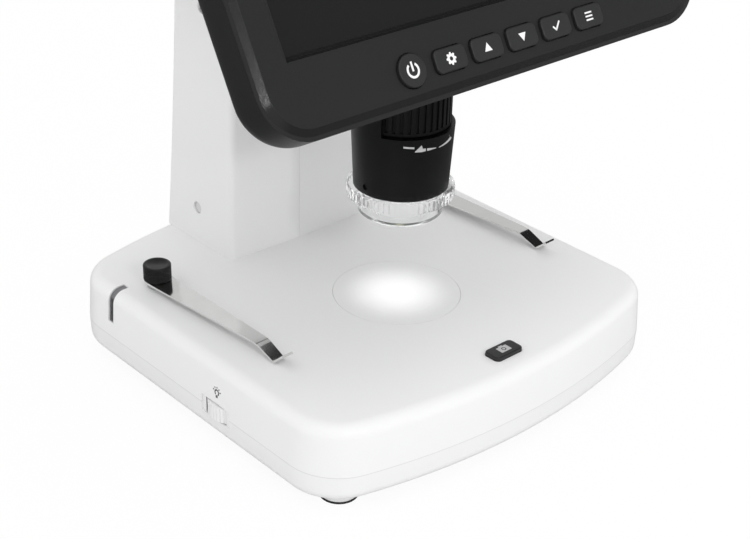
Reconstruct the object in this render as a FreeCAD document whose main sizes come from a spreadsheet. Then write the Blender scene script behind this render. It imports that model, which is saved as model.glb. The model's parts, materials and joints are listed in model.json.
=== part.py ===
"""Desk-top digital microscope with a 7-inch display, as an assembly of separate pieces.

Frame: millimetres, +Z up, -Y is the side where the user sits, origin under the middle of the
instrument in the plane that its rubber feet stand on.
"""

import FreeCAD, Part
import math
import os
import re

import Sketcher

Vector = FreeCAD.Vector
Rotation = FreeCAD.Rotation
UP = Vector(0, 0, 1)
ACROSS = Vector(1, 0, 0)

# Driving sizes in millimetres and degrees. Each name becomes a cell of the sheet.
SIZES = {
    # Base housing
    "base_half_width": 76.0,
    "base_half_depth": 79.0,
    "base_bow_radius": 237.0,
    "base_corner_radius": 19.0,
    "base_floor_z": 3.9,
    "base_seam_z": 13.5,
    "base_top_z": 30.5,
    "base_wall": 2.5,
    "base_upper_draft": 4.0,
    "base_lower_draft": 2.0,
    "base_top_round": 4.5,
    "base_bottom_round": 4.0,
    "base_lip_height": 1.5,
    "base_lip_wall": 1.1,
    "fit_gap": 0.1,
    "running_gap": 0.05,
    # Feet
    "foot_side_inset": 14.5,
    "foot_end_inset": 20.5,
    "foot_radius": 6.9,
    "foot_pad_radius": 7.1,
    "foot_pad_stand": 0.35,
    "foot_pad_seat": 0.35,
    # Stage light
    "optical_axis_y": -16.5,
    "diffuser_radius": 21.8,
    "diffuser_thickness": 2.0,
    "diffuser_ledge": 2.0,
    "light_well_radius": 24.0,
    "light_well_wall": 1.5,
    "light_board_z": 9.0,
    "board_thickness": 1.6,
    "led_radius": 1.5,
    "led_height": 1.0,
    "stage_led_circle": 13.0,
    # Shutter button
    "shutter_inset": 12.0,
    "shutter_length": 12.0,
    "shutter_width": 6.5,
    "shutter_round": 1.6,
    "shutter_rise": 1.3,
    "button_gap": 0.15,
    "button_travel": 0.5,
    "button_flange": 1.0,
    "button_flange_thickness": 1.0,
    "button_flange_gap": 0.05,
    "shutter_board_z": 20.0,
    "switch_body": 6.0,
    # Brightness wheel
    "wheel_y": -14.7,
    "wheel_radius": 8.5,
    "wheel_thickness": 5.4,
    "wheel_centre_z": 13.4,
    "wheel_rise": 0.8,
    "wheel_teeth": 36,
    "wheel_tooth_depth": 0.35,
    "wheel_window_half": 7.2,
    "wheel_window_low_z": 10.3,
    "wheel_window_high_z": 16.5,
    "pot_shaft_radius": 1.5,
    "pot_half_side": 4.8,
    # Strip that wraps over the rear left edge
    "strip_y": 44.8,
    "strip_width": 2.8,
    "strip_low_z": 18.7,
    "strip_reach": 5.0,
    "strip_thickness": 0.8,
    "strip_groove_depth": 1.3,
    # Specimen clips and their thumb screws
    "clip_across": 60.0,
    "clip_y": 38.5,
    "clip_post_height": 1.9,
    "clip_post_radius": 3.6,
    "clip_thickness": 0.7,
    "clip_flat": 6.0,
    "clip_bend_reach": 57.0,
    "clip_bend_height": 6.1,
    "clip_touch_reach": 64.0,
    "clip_touch_height": 0.5,
    "clip_tip_reach": 68.0,
    "clip_tip_height": 2.6,
    "clip_wide": 9.5,
    "clip_narrow": 5.3,
    "clip_left_turn": 1.8,
    "clip_right_turn": 5.3,
    "thumb_radius": 4.8,
    "thumb_height": 5.6,
    "thumb_teeth": 40,
    "thumb_tooth_depth": 0.35,
    "thumb_shank_radius": 1.5,
    "thumb_shank_length": 12.0,
    # Column
    "column_half_width": 30.3,
    "column_side_slope": 1.62,
    "column_front_y": 35.8,
    "column_rear_y": 74.0,
    "column_rear_top_y": 64.8,
    "column_rear_radius": 1800.0,
    "column_top_z": 184.0,
    "column_wall": 2.5,
    "column_crown_radius": 560.0,
    "column_edge_round": 2.4,
    "column_top_round": 12.0,
    "column_slot_half_width": 14.0,
    "column_slot_low_z": 110.0,
    "column_slot_high_z": 158.0,
    "column_screw_recess": 2.25,
    "column_screw_depth": 2.0,
    "column_screw_low_y": 56.5,
    "column_screw_low_z": 43.6,
    "column_screw_mid_y": 53.2,
    "column_screw_mid_z": 118.4,
    "column_screw_high_y": 56.0,
    "column_screw_high_z": 171.0,
    "column_boss_radius": 2.3,
    "screw_radius": 1.1,
    "screw_head_radius": 2.0,
    "screw_head_height": 1.2,
    "column_foot_screw_x": 20.0,
    "column_foot_screw_front_y": 44.0,
    "column_foot_screw_rear_y": 64.0,
    "column_flange": 3.0,
    # Focus drive
    "rod_across": 18.0,
    "rod_y": 45.5,
    "rod_radius": 3.0,
    "rod_low_z": 96.0,
    "rod_high_z": 171.0,
    "rod_socket": 8.0,
    "rod_socket_wall": 2.2,
    "carriage_front_y": 39.3,
    "carriage_rear_y": 50.3,
    "carriage_half_width": 23.0,
    "carriage_low_z": 118.0,
    "carriage_high_z": 146.0,
    "carriage_web": 3.0,
    "arm_half_width": 13.0,
    "arm_low_z": 120.0,
    "arm_high_z": 144.0,
    "arm_front_y": 12.0,
    "gear_module": 1.0,
    "pinion_teeth": 12,
    "pinion_width": 8.0,
    "rack_half_width": 4.0,
    "rack_low_z": 126.0,
    "rack_high_z": 164.0,
    "tooth_backlash": 0.12,
    "shaft_radius": 2.5,
    "shaft_z": 150.0,
    "bush_wall": 1.8,
    "bush_length": 4.0,
    "knob_radius": 15.0,
    "knob_length": 14.0,
    "knob_gap": 0.8,
    "knob_grips": 24,
    "knob_grip_radius": 1.2,
    "knob_recess_depth": 1.5,
    # Head
    "head_half_width": 22.0,
    "head_rear_y": 30.0,
    "head_front_y": -36.5,
    "head_low_z": 112.0,
    "head_slope_z": 124.5,
    "head_top_front_y": -20.0,
    "head_top_z": 150.0,
    "head_wall": 2.5,
    "head_round": 3.0,
    "head_floor_thickness": 3.0,
    "head_boss_radius": 2.6,
    "head_boss_x": 15.8,
    "head_boss_front_y": -3.0,
    "head_boss_rear_y": 24.0,
    # Camera tube, radii about the optical axis
    "tube_low_z": 71.9,
    "tube_shelf_z": 94.0,
    "tube_low_radius": 15.7,
    "tube_shelf_radius": 16.9,
    "tube_bore_radius": 13.8,
    "tube_top_z": 121.0,
    "tube_flange_radius": 17.4,
    "tube_flange_height": 2.0,
    "window_half_angle": 67.0,
    "focus_ring_radius": 15.6,
    "focus_ring_wall": 1.4,
    "focus_ring_low_z": 94.6,
    "focus_ring_high_z": 111.4,
    "focus_ring_ribs": 40,
    "focus_rib_depth": 0.55,
    "focus_web_height": 4.0,
    "barrel_radius": 12.0,
    "barrel_wall": 1.5,
    "barrel_low_z": 78.5,
    "barrel_high_z": 110.0,
    "lens_thickness": 4.0,
    "ring_board_radius": 13.6,
    "ring_board_bore": 7.5,
    "ring_board_z": 74.2,
    "ring_led_circle": 10.6,
    "set_screw_rise": 2.9,
    "set_screw_radius": 0.75,
    "sensor_half_side": 4.5,
    "sensor_height": 1.4,
    # Clear nose
    "nose_low_z": 62.0,
    "nose_radius": 14.0,
    "nose_wall": 1.2,
    "nose_collar_low_z": 68.0,
    "nose_collar_high_z": 73.5,
    "nose_collar_radius": 17.85,
    "nose_ribs": 60,
    "nose_rib_depth": 0.45,
    "nose_bore_radius": 9.0,
    # Display housing, in the plane of its face
    "window_side_frame": 12.25,
    "window_top_frame": 13.0,
    "display_corner": 25.5,
    "display_lean": 30.0,
    "display_y": -64.8,
    "display_z": 124.5,
    "bezel_depth": 6.6,
    "bezel_wall": 2.0,
    "bezel_face": 2.2,
    "rim_ledge": 1.25,
    "rim_depth": 1.0,
    "rim_slope": 2.1,
    "cover_depth": 11.4,
    "cover_round": 8.9,
    "cover_step": 2.4,
    "cover_inset": 6.0,
    "cover_wall": 2.2,
    "window_half_width": 78.0,
    "window_low": 21.5,
    "window_high": 109.5,
    "window_bevel": 1.6,
    "panel_margin": 3.5,
    "panel_thickness": 3.6,
    "board_side_inset": 18.0,
    "board_low": 34.0,
    "board_high": 98.0,
    "board_gap": 2.6,
    # Keys below the window
    "key_row": 10.1,
    "key_first": -23.8,
    "key_pitch": 14.56,
    "key_width": 12.4,
    "key_height": 8.0,
    "key_corner": 2.0,
    "key_rise": 1.0,
    "key_edge": 0.4,
    "key_gap": 0.25,
    "key_stem": 3.9,
    "power_key_u": -38.9,
    "power_key_radius": 4.9,
    "keypad_low": 3.6,
    "keypad_high": 16.6,
    "keypad_half_width": 46.0,
    # Tilt hinge
    "hinge_y": -14.0,
    "hinge_z": 158.0,
    "hinge_pin_radius": 2.5,
    "hinge_knuckle_radius": 5.0,
    "hinge_plate": 2.0,
    "head_ear_inner": 8.0,
    "ear_thickness": 3.0,
    "ear_gap": 0.3,
    "display_plate_half_width": 20.0,
    "display_plate_low": 44.0,
    "display_plate_high": 65.0,
    "cover_screw_side": 16.25,
    "cover_screw_inset": 16.0,
    # Power inside the base
    "cell_radius": 9.2,
    "cell_half_length": 33.0,
    "cell_first_y": 33.0,
    "control_width": 32.0,
    "control_inset": 12.0,
    "control_front_y": -38.0,
    "control_rear_y": 22.0,
    "inlet_x": 42.0,
    "inlet_z": 21.5,
    "inlet_half_width": 4.5,
    "inlet_half_height": 4.0,
    "inlet_length": 11.0,
    "inlet_bore": 3.2,
    "base_screw_side_inset": 24.0,
    "base_screw_end_inset": 17.0,
    "base_post_radius": 3.6,
}

DERIVED = {
    "shutter_y": "shutter_inset - base_half_depth",
    "foot_across": "base_half_width - foot_side_inset",
    "foot_along": "base_half_depth - foot_end_inset",
    "base_screw_x": "base_half_width - base_screw_side_inset",
    "base_screw_y": "base_half_depth - base_screw_end_inset",
    "control_right_x": "base_half_width - control_inset",
    "control_left_x": "base_half_width - control_inset - control_width",
    "display_half_width": "window_half_width + window_side_frame",
    "display_height": "window_high + window_top_frame",
    "board_half_width": "window_half_width - board_side_inset",
    "cover_screw_u": "window_half_width + window_side_frame - cover_screw_side",
}

doc = FreeCAD.newDocument("lcd_digital_microscope")
sheet = doc.addObject("Spreadsheet::Sheet", "sizes")
for row, (alias, number) in enumerate(SIZES.items(), start=1):
    sheet.set(f"A{row}", alias)
    sheet.set(f"B{row}", str(number))
    sheet.setAlias(f"B{row}", alias)
for row, (alias, formula) in enumerate(DERIVED.items(), start=len(SIZES) + 1):
    sheet.set(f"A{row}", alias)
    sheet.set(f"B{row}", f"={formula}")
    sheet.setAlias(f"B{row}", alias)
doc.recompute()

WORD = re.compile(r"[a-z]\w*")
ALIASES = SIZES.keys() | DERIVED.keys()
nodes = []


def cells(formula):
    """Turn the size names in a formula into references to the sheet."""
    return WORD.sub(lambda word: f"sizes.{word[0]}" if word[0] in ALIASES else word[0], str(formula))


def value(formula):
    """Give the number that a formula of size names stands for."""
    return float(sheet.evalExpression(cells(formula)))


def bind(item, **formulas):
    """Bind properties of an object to formulas of size names."""
    for name, formula in formulas.items():
        item.setExpression(name.replace("__", "."), cells(formula))
    return item


def place(item, x="0", y="0", z="0"):
    """Bind the place of an object to three formulas."""
    return bind(item, Placement__Base__x=x, Placement__Base__y=y, Placement__Base__z=z)


def node(item, label):
    """Count an object as one sub-part of the assembly under its own name."""
    item.Label = label
    nodes.append(item)
    return item


# Sketch helpers


def pin(sketch, edge, end, x, y):
    """Hold one point of a sketch at two formulas."""
    for kind, formula in (("DistanceX", x), ("DistanceY", y)):
        rule = Sketcher.Constraint(kind, -1, 1, edge, end, value(formula))
        index = sketch.addConstraint(rule)
        sketch.setExpression(f"Constraints[{index}]", cells(formula))


def set_radius(sketch, edge, formula):
    """Hold the radius of a round edge at a formula."""
    index = sketch.addConstraint(Sketcher.Constraint("Radius", edge, value(formula)))
    sketch.setExpression(f"Constraints[{index}]", cells(formula))


def polygon(*points):
    """Draw a closed outline of straight edges through pairs of formulas."""

    def draw(sketch):
        spots = [Vector(value(x), value(y), 0) for x, y in points]
        first = sketch.GeometryCount
        count = len(spots)
        for i in range(count):
            sketch.addGeometry(Part.LineSegment(spots[i], spots[(i + 1) % count]), False)
        for i in range(count):
            following = first + (i + 1) % count
            sketch.addConstraint(Sketcher.Constraint("Coincident", first + i, 2, following, 1))
            pin(sketch, first + i, 1, *points[i])

    return draw


def rectangle(left, low, right, high):
    """Draw a rectangle between two corners."""
    return polygon((left, low), (right, low), (right, high), (left, high))


def circle(x, y, radius):
    """Draw a circle about a point."""

    def draw(sketch):
        ring = Part.Circle(Vector(value(x), value(y), 0), UP, value(radius))
        edge = sketch.addGeometry(ring, False)
        pin(sketch, edge, 3, x, y)
        set_radius(sketch, edge, radius)

    return draw


def chain_tangents(sketch, first, count):
    """Join the edges of a closed outline end to start, each tangent to the next."""
    for i in range(count):
        following = first + (i + 1) % count
        sketch.addConstraint(Sketcher.Constraint("Tangent", first + i, 2, following, 1))


def arc(centre, radius, start, end):
    """Give an arc about a centre between two angles in radians."""
    return Part.ArcOfCircle(Part.Circle(Vector(*centre, 0), UP, radius), start, end)


def round_rectangle(left, low, right, high, corner):
    """Draw a rectangle with four equal round corners."""

    def draw(sketch):
        west, south, east, north = value(left), value(low), value(right), value(high)
        bend = value(corner)
        quarter = math.pi / 2
        centres = [(east - bend, south + bend), (east - bend, north - bend)]
        centres += [(west + bend, north - bend), (west + bend, south + bend)]
        first = sketch.GeometryCount
        for i, centre in enumerate(centres):
            start = (i - 1) * quarter
            sketch.addGeometry(arc(centre, bend, start, start + quarter), False)
            turned = start + quarter
            begin = Vector(centre[0] + bend * math.cos(turned), centre[1] + bend * math.sin(turned), 0)
            after = centres[(i + 1) % 4]
            finish = Vector(after[0] + bend * math.cos(turned), after[1] + bend * math.sin(turned), 0)
            sketch.addGeometry(Part.LineSegment(begin, finish), False)
        chain_tangents(sketch, first, 8)
        formulas = [(right, "-", low, "+"), (right, "-", high, "-"), (left, "+", high, "-"), (left, "+", low, "+")]
        for i, (x, x_sign, y, y_sign) in enumerate(formulas):
            pin(sketch, first + 2 * i, 3, f"{x} {x_sign} ({corner})", f"{y} {y_sign} ({corner})")
        set_radius(sketch, first, corner)

    return draw


def base_outline(inset):
    """Draw the outline of the base: straight sides, bowed front and rear, round corners."""

    def draw(sketch):
        half_width = value(f"base_half_width - ({inset})")
        half_depth = value(f"base_half_depth - ({inset})")
        bow = value(f"base_bow_radius - ({inset})")
        corner = value(f"base_corner_radius - ({inset})")
        corner_x = half_width - corner
        rise = math.sqrt((bow - corner) ** 2 - corner_x**2)
        corner_y = half_depth - bow + rise
        lean = math.atan2(rise, corner_x)
        first = sketch.GeometryCount
        turn = math.pi
        right_low = Vector(half_width, -corner_y, 0)
        right_high = Vector(half_width, corner_y, 0)
        sketch.addGeometry(Part.LineSegment(right_low, right_high), False)
        sketch.addGeometry(arc((corner_x, corner_y), corner, 0, lean), False)
        sketch.addGeometry(arc((0, half_depth - bow), bow, lean, turn - lean), False)
        sketch.addGeometry(arc((-corner_x, corner_y), corner, turn - lean, turn), False)
        sketch.addGeometry(Part.LineSegment(-right_low, -right_high), False)
        sketch.addGeometry(arc((-corner_x, -corner_y), corner, turn, turn + lean), False)
        sketch.addGeometry(arc((0, bow - half_depth), bow, turn + lean, 2 * turn - lean), False)
        sketch.addGeometry(arc((corner_x, -corner_y), corner, 2 * turn - lean, 2 * turn), False)
        chain_tangents(sketch, first, 8)
        pin(sketch, first + 2, 3, "0", "base_half_depth - base_bow_radius")
        pin(sketch, first + 6, 3, "0", "base_bow_radius - base_half_depth")
        set_radius(sketch, first + 2, f"base_bow_radius - ({inset})")
        set_radius(sketch, first + 6, f"base_bow_radius - ({inset})")
        set_radius(sketch, first + 1, f"base_corner_radius - ({inset})")
        for other in (3, 5, 7):
            sketch.addConstraint(Sketcher.Constraint("Equal", first + 1, first + other))
        for edge, sign in ((0, ""), (4, "-")):
            formula = f"{sign}(base_half_width - ({inset}))"
            rule = Sketcher.Constraint("DistanceX", -1, 1, first + edge, 1, value(formula))
            index = sketch.addConstraint(rule)
            sketch.setExpression(f"Constraints[{index}]", cells(formula))

    return draw


# Bodies made of features


def body(label, counted=True):
    """Start a body, which is one sub-part unless it is only a blank for one."""
    part = doc.addObject("PartDesign::Body", label)
    return node(part, label) if counted else part


def sketch_on(part, role, offset, *drawings):
    """Make a sketch on one of a body's own origin planes, shifted along the plane's normal."""
    sketch = part.newObject("Sketcher::SketchObject", "Profile")
    plane = next(item for item in part.Origin.OriginFeatures if item.Role == role)
    sketch.AttachmentSupport = [(plane, "")]
    sketch.MapMode = "FlatFace"
    sketch.setExpression("AttachmentOffset.Base.z", cells(offset))
    for draw in drawings:
        draw(sketch)
    return sketch


def check_change(part, before, grows):
    """Make sure that a feature added or removed material as it should."""
    doc.recompute()
    change = part.Shape.Volume - before
    if (change > 0) != grows or abs(change) < 1e-6:
        raise RuntimeError(f"{part.Label}: {part.Tip.Label} changed the volume by {change:.3f}")


def pad(part, sketch, length, backward=False, taper="0"):
    """Add a pad to a body."""
    before = part.Shape.Volume if part.Tip else 0.0
    feature = part.newObject("PartDesign::Pad", "Pad")
    feature.Profile = sketch
    feature.Reversed = backward
    bind(feature, Length=length, TaperAngle=taper)
    check_change(part, before, True)
    return feature


def pocket(part, sketch, length, backward=False, taper="0"):
    """Cut a pocket, which runs against the sketch's normal unless it is backward."""
    before = part.Shape.Volume
    feature = part.newObject("PartDesign::Pocket", "Pocket")
    feature.Profile = sketch
    feature.Reversed = backward
    bind(feature, Length=length, TaperAngle=taper)
    check_change(part, before, False)
    return feature


def edges_where(shape, test):
    """Name the edges of a shape that pass a test."""
    return [f"Edge{i}" for i, edge in enumerate(shape.Edges, start=1) if test(edge)]


def lies_at(edge, axis, level, slack=1e-4):
    """Tell whether all of an edge lies at one level along an axis."""
    box = edge.BoundBox
    low, high = getattr(box, f"{axis}Min"), getattr(box, f"{axis}Max")
    return abs(low - level) < slack and abs(high - level) < slack


def round_edges(part, radius, test):
    """Round the edges of a body's last feature that pass a test, in the body's own frame."""
    base = part.Tip
    feature = part.newObject("PartDesign::Fillet", "Fillet")
    feature.Base = (base, edges_where(base.Shape, test))
    bind(feature, Radius=radius)
    doc.recompute()
    return feature


def revolve(part, *drawings):
    """Turn a profile in the XZ plane about the body's Z axis."""
    sketch = sketch_on(part, "XZ_Plane", "0", *drawings)
    feature = part.newObject("PartDesign::Revolution", "Revolution")
    feature.Profile = sketch
    feature.ReferenceAxis = (sketch, ["V_Axis"])
    feature.Angle = 360
    doc.recompute()
    return feature


def around(part, count, feature):
    """Repeat a feature evenly about the body's Z axis."""
    pattern = part.newObject("PartDesign::PolarPattern", "PolarPattern")
    pattern.Originals = [feature]
    axis = next(item for item in part.Origin.OriginFeatures if item.Role == "Z_Axis")
    pattern.Axis = (axis, [""])
    pattern.Angle = 360
    bind(pattern, Occurrences=count)
    part.Tip = pattern
    doc.recompute()
    return pattern


# Plain solids and booleans


def box(left, front, low, right, rear, high):
    """Make a block between two corners."""
    item = doc.addObject("Part::Box", "Block")
    bind(item, Length=f"({right}) - ({left})", Width=f"({rear}) - ({front})", Height=f"({high}) - ({low})")
    return place(item, left, front, low)


TURNS = {"z": Rotation(), "x": Rotation(Vector(0, 1, 0), 90), "y": Rotation(Vector(1, 0, 0), -90)}


def cylinder(radius, length, x, y, z, axis="z"):
    """Make a cylinder that starts at a point and runs along +X, +Y or +Z."""
    item = doc.addObject("Part::Cylinder", "Round")
    item.Placement = FreeCAD.Placement(Vector(), TURNS[axis])
    bind(item, Radius=radius, Height=length)
    return place(item, x, y, z)


def fuse(*parts):
    """Join several solids into one."""
    item = doc.addObject("Part::MultiFuse", "Joined")
    item.Shapes = list(parts)
    return item


def cut(base, *tools):
    """Cut one or more tools from a solid."""
    item = doc.addObject("Part::Cut", "Trimmed")
    item.Base = base
    item.Tool = tools[0] if len(tools) == 1 else fuse(*tools)
    return item


def common(*parts):
    """Keep what several solids share."""
    item = doc.addObject("Part::MultiCommon", "Shared")
    item.Shapes = list(parts)
    return item


def group(parts):
    """Hold alike solids together as one sub-part."""
    item = doc.addObject("Part::Compound", "Group")
    item.Links = list(parts)
    return item


PLANES = {
    "XY": (Rotation(), "z"),
    "XZ": (Rotation(Vector(1, 0, 0), 90), "y"),
    "YZ": (Rotation(Vector(1, 1, 1), 120), "x"),
}


def prism(plane, level, length, *drawings):
    """Extrude an outline both ways, by half the length each, from a level of a plane."""
    turn, axis = PLANES[plane]
    sketch = doc.addObject("Sketcher::SketchObject", "Profile")
    sketch.Placement = FreeCAD.Placement(Vector(), turn)
    bind(sketch, **{f"Placement__Base__{axis}": level})
    for draw in drawings:
        draw(sketch)
    item = doc.addObject("Part::Extrusion", "Prism")
    item.Base = sketch
    item.DirMode = "Normal"
    item.Solid = True
    item.Symmetric = True
    return bind(item, LengthFwd=length)


def fillet(base, radius, test):
    """Round the edges of a solid that pass a test."""
    doc.recompute()
    item = doc.addObject("Part::Fillet", "Rounded")
    item.Base = base
    size = value(radius)
    found = edges_where(base.Shape, test)
    item.Edges = [(int(name[4:]), size, size) for name in found]
    doc.recompute()
    return item


def bent_strip(points, bend, thickness, left, right):
    """Shape a strip of sheet metal from its lower line in the YZ plane, with round bends."""
    corners = [Vector(0, *point) for point in points]
    edges = []
    start = corners[0]
    for before, corner, after in zip(corners, corners[1:], corners[2:]):
        inward = (before - corner).normalize()
        outward = (after - corner).normalize()
        half = inward.getAngle(outward) / 2
        reach = bend / math.tan(half)
        enter = corner + inward * reach
        leave = corner + outward * reach
        middle = corner + (inward + outward).normalize() * (bend / math.sin(half) - bend)
        edges += [Part.makeLine(start, enter), Part.Arc(enter, middle, leave).toShape()]
        start = leave
    edges.append(Part.makeLine(start, corners[-1]))
    face = Part.Wire(edges).makeOffset2D(thickness, fill=True, openResult=True)
    strip = face.extrude(ACROSS * (right - left))
    strip.translate(ACROSS * left)
    return strip


# Base


def make_base_upper_shell():
    """Moulded top of the base, which is the stage, with its openings and inner bosses."""
    shell = body("base_upper_blank", counted=False)
    top = "base_top_z"
    ceiling = "base_top_z - base_wall"
    pad(shell, sketch_on(shell, "XY_Plane", "base_seam_z", base_outline("0")),
        "base_top_z - base_seam_z", taper="-base_upper_draft")
    top_level = value(top)
    round_edges(shell, "base_top_round", lambda edge: lies_at(edge, "Z", top_level))
    pocket(shell, sketch_on(shell, "XY_Plane", "base_seam_z", base_outline("base_wall")),
           "base_top_z - base_wall - base_seam_z", backward=True, taper="-base_upper_draft")
    rebate = sketch_on(shell, "XY_Plane", "base_seam_z", base_outline("base_wall - base_lip_wall - fit_gap"))
    pocket(shell, rebate, "base_lip_height + fit_gap", backward=True)
    well = circle("0", "optical_axis_y", "light_well_radius + fit_gap + diffuser_ledge")
    pad(shell, sketch_on(shell, "XY_Plane", f"{ceiling} - diffuser_ledge", well),
        "diffuser_ledge + base_wall / 2")
    for x in ("clip_across", "-clip_across"):
        boss = circle(x, "clip_y", "clip_post_radius + 0.4")
        pad(shell, sketch_on(shell, "XY_Plane", f"{top} - thumb_shank_length", boss),
            "thumb_shank_length - base_wall / 2")
    for x in ("base_screw_x", "-base_screw_x"):
        for y in ("base_screw_y", "-base_screw_y"):
            post = circle(x, y, "base_post_radius")
            pad(shell, sketch_on(shell, "XY_Plane", "base_seam_z", post),
                "base_top_z - base_seam_z - base_wall / 2")
    pocket(shell, sketch_on(shell, "XY_Plane", top, circle("0", "optical_axis_y", "diffuser_radius + fit_gap")),
           "diffuser_thickness")
    pocket(shell, sketch_on(shell, "XY_Plane", top, circle("0", "optical_axis_y", "diffuser_radius - diffuser_ledge")),
           "base_top_z - base_seam_z")
    half_length = "shutter_length / 2 + button_gap"
    half_width = "shutter_width / 2 + button_gap"
    hole = round_rectangle(f"-({half_length})", f"shutter_y - ({half_width})", half_length,
                           f"shutter_y + {half_width}", "shutter_round + button_gap")
    pocket(shell, sketch_on(shell, "XY_Plane", top, hole), "base_wall + base_top_round")
    for x in ("clip_across", "-clip_across"):
        bore = circle(x, "clip_y", "thumb_shank_radius + running_gap")
        pocket(shell, sketch_on(shell, "XY_Plane", top, bore), "thumb_shank_length + 1")
    for x in ("column_foot_screw_x", "-column_foot_screw_x"):
        for y in ("column_foot_screw_front_y", "column_foot_screw_rear_y"):
            pocket(shell, sketch_on(shell, "XY_Plane", top, circle(x, y, "screw_radius + fit_gap")),
                   "base_wall + base_top_round")
    for x in ("base_screw_x", "-base_screw_x"):
        for y in ("base_screw_y", "-base_screw_y"):
            pilot = circle(x, y, "screw_radius")
            pocket(shell, sketch_on(shell, "XY_Plane", "base_seam_z", pilot), "6", backward=True)
    window = rectangle("wheel_y - wheel_window_half", "base_seam_z - 1", "wheel_y + wheel_window_half",
                       "wheel_window_high_z")
    pocket(shell, sketch_on(shell, "YZ_Plane", "-base_half_width - 1", window),
           "base_wall + 3", backward=True)
    inlet = circle("inlet_x", "inlet_z", "inlet_bore + 0.6")
    pocket(shell, sketch_on(shell, "XZ_Plane", "-base_half_depth", inlet), "base_wall + 6", backward=True)
    return shell


def edge_path(depth):
    """Lower line of the strip over the rear left edge, at a depth under the surface."""
    slope = math.radians(value("base_upper_draft"))
    low = value("strip_low_z")
    top = value("base_top_z") - depth
    side = value("base_half_width") - depth

    def side_at(height):
        return -side + (height - value("base_seam_z")) * math.tan(slope)

    return [(side_at(low), low), (side_at(top), top), (side_at(top) + value("strip_reach"), top)]


def strip_solid(margin, height):
    """Bend a strip over the rear left edge, from the groove's bottom up to a height."""
    depth = value("strip_groove_depth")
    half = value("strip_width") / 2 + margin
    middle = value("strip_y")
    path = [(-x, z) for x, z in reversed(edge_path(depth))]
    shape = bent_strip(path, value("base_top_round") - depth, -height, middle - half, middle + half)
    shape.Placement = FreeCAD.Placement(Vector(), Rotation(UP, 90)).multiply(shape.Placement)
    item = doc.addObject("Part::Feature", "Strip")
    item.Shape = shape
    return item


def make_edge_strip(blank):
    """Bent metal strip in its groove over the rear left edge of the base."""
    groove = strip_solid(value("fit_gap"), value("strip_groove_depth") + 2)
    node(cut(blank, groove), "base_upper_shell")
    node(strip_solid(0, value("strip_thickness")), "edge_strip")


def make_base_lower_shell():
    """Moulded tray that closes the base from below, with feet bosses, posts and standoffs."""
    shell = body("base_lower_shell")
    pad(shell, sketch_on(shell, "XY_Plane", "base_seam_z", base_outline("0")),
        "base_seam_z - base_floor_z", backward=True, taper="-base_lower_draft")
    floor_level = value("base_floor_z")
    round_edges(shell, "base_bottom_round", lambda edge: lies_at(edge, "Z", floor_level))
    pocket(shell, sketch_on(shell, "XY_Plane", "base_seam_z", base_outline("base_wall")),
           "base_seam_z - base_floor_z - base_wall")
    lip = sketch_on(shell, "XY_Plane", "base_seam_z - 1", base_outline("base_wall - base_lip_wall"),
                    base_outline("base_wall"))
    pad(shell, lip, "base_lip_height + 1")
    inner_floor = "base_floor_z + base_wall"
    for x in ("foot_across", "-foot_across"):
        for y in ("foot_along", "-foot_along"):
            pad(shell, sketch_on(shell, "XY_Plane", "foot_pad_stand", circle(x, y, "foot_radius")),
                "base_floor_z + base_wall / 2 - foot_pad_stand")
            seat = circle(x, y, "foot_pad_radius + fit_gap")
            pocket(shell, sketch_on(shell, "XY_Plane", "foot_pad_stand", seat), "foot_pad_seat", backward=True)
    for x in ("base_screw_x", "-base_screw_x"):
        for y in ("base_screw_y", "-base_screw_y"):
            pad(shell, sketch_on(shell, "XY_Plane", "base_floor_z + base_wall / 2", circle(x, y, "base_post_radius")),
                "base_seam_z - base_floor_z - base_wall / 2")
            clear = circle(x, y, "screw_radius + fit_gap")
            pocket(shell, sketch_on(shell, "XY_Plane", "base_floor_z - 1", clear), "base_seam_z", backward=True)
            head = circle(x, y, "screw_head_radius + fit_gap")
            pocket(shell, sketch_on(shell, "XY_Plane", "base_floor_z - 1", head),
                   "screw_head_height + 1.3", backward=True)
    for x, y in LIGHT_POSTS:
        pad(shell, sketch_on(shell, "XY_Plane", f"{inner_floor} - 0.5", circle(x, y, "2.2")),
            f"light_board_z - ({inner_floor}) + 0.5")
    for x in ("control_left_x + 4", "control_right_x - 4"):
        for y in ("control_front_y + 4", "control_rear_y - 4"):
            pad(shell, sketch_on(shell, "XY_Plane", f"{inner_floor} - 0.5", circle(x, y, "2.2")),
                f"light_board_z - ({inner_floor}) + 0.5")
    window = rectangle("wheel_y - wheel_window_half", "wheel_window_low_z", "wheel_y + wheel_window_half",
                       "base_seam_z + base_lip_height + 1")
    pocket(shell, sketch_on(shell, "YZ_Plane", "-base_half_width - 1", window),
           "base_wall + 3", backward=True)
    post = rectangle("-shutter_length / 2", "shutter_y - 1.5", "shutter_length / 2", "shutter_y + 1.5")
    pad(shell, sketch_on(shell, "XY_Plane", f"{inner_floor} - 0.5", post),
        f"shutter_board_z - ({inner_floor}) + 0.5")
    return shell


LIGHT_POSTS = [("14", "optical_axis_y"), ("-14", "optical_axis_y"), ("0", "optical_axis_y + 14")]


def make_feet():
    """Four rubber pads that the base stands on."""
    pads = []
    for x in ("foot_across", "-foot_across"):
        for y in ("foot_along", "-foot_along"):
            pads.append(cylinder("foot_pad_radius", "foot_pad_stand + foot_pad_seat", x, y, "0"))
    node(group(pads), "foot_pads")


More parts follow.
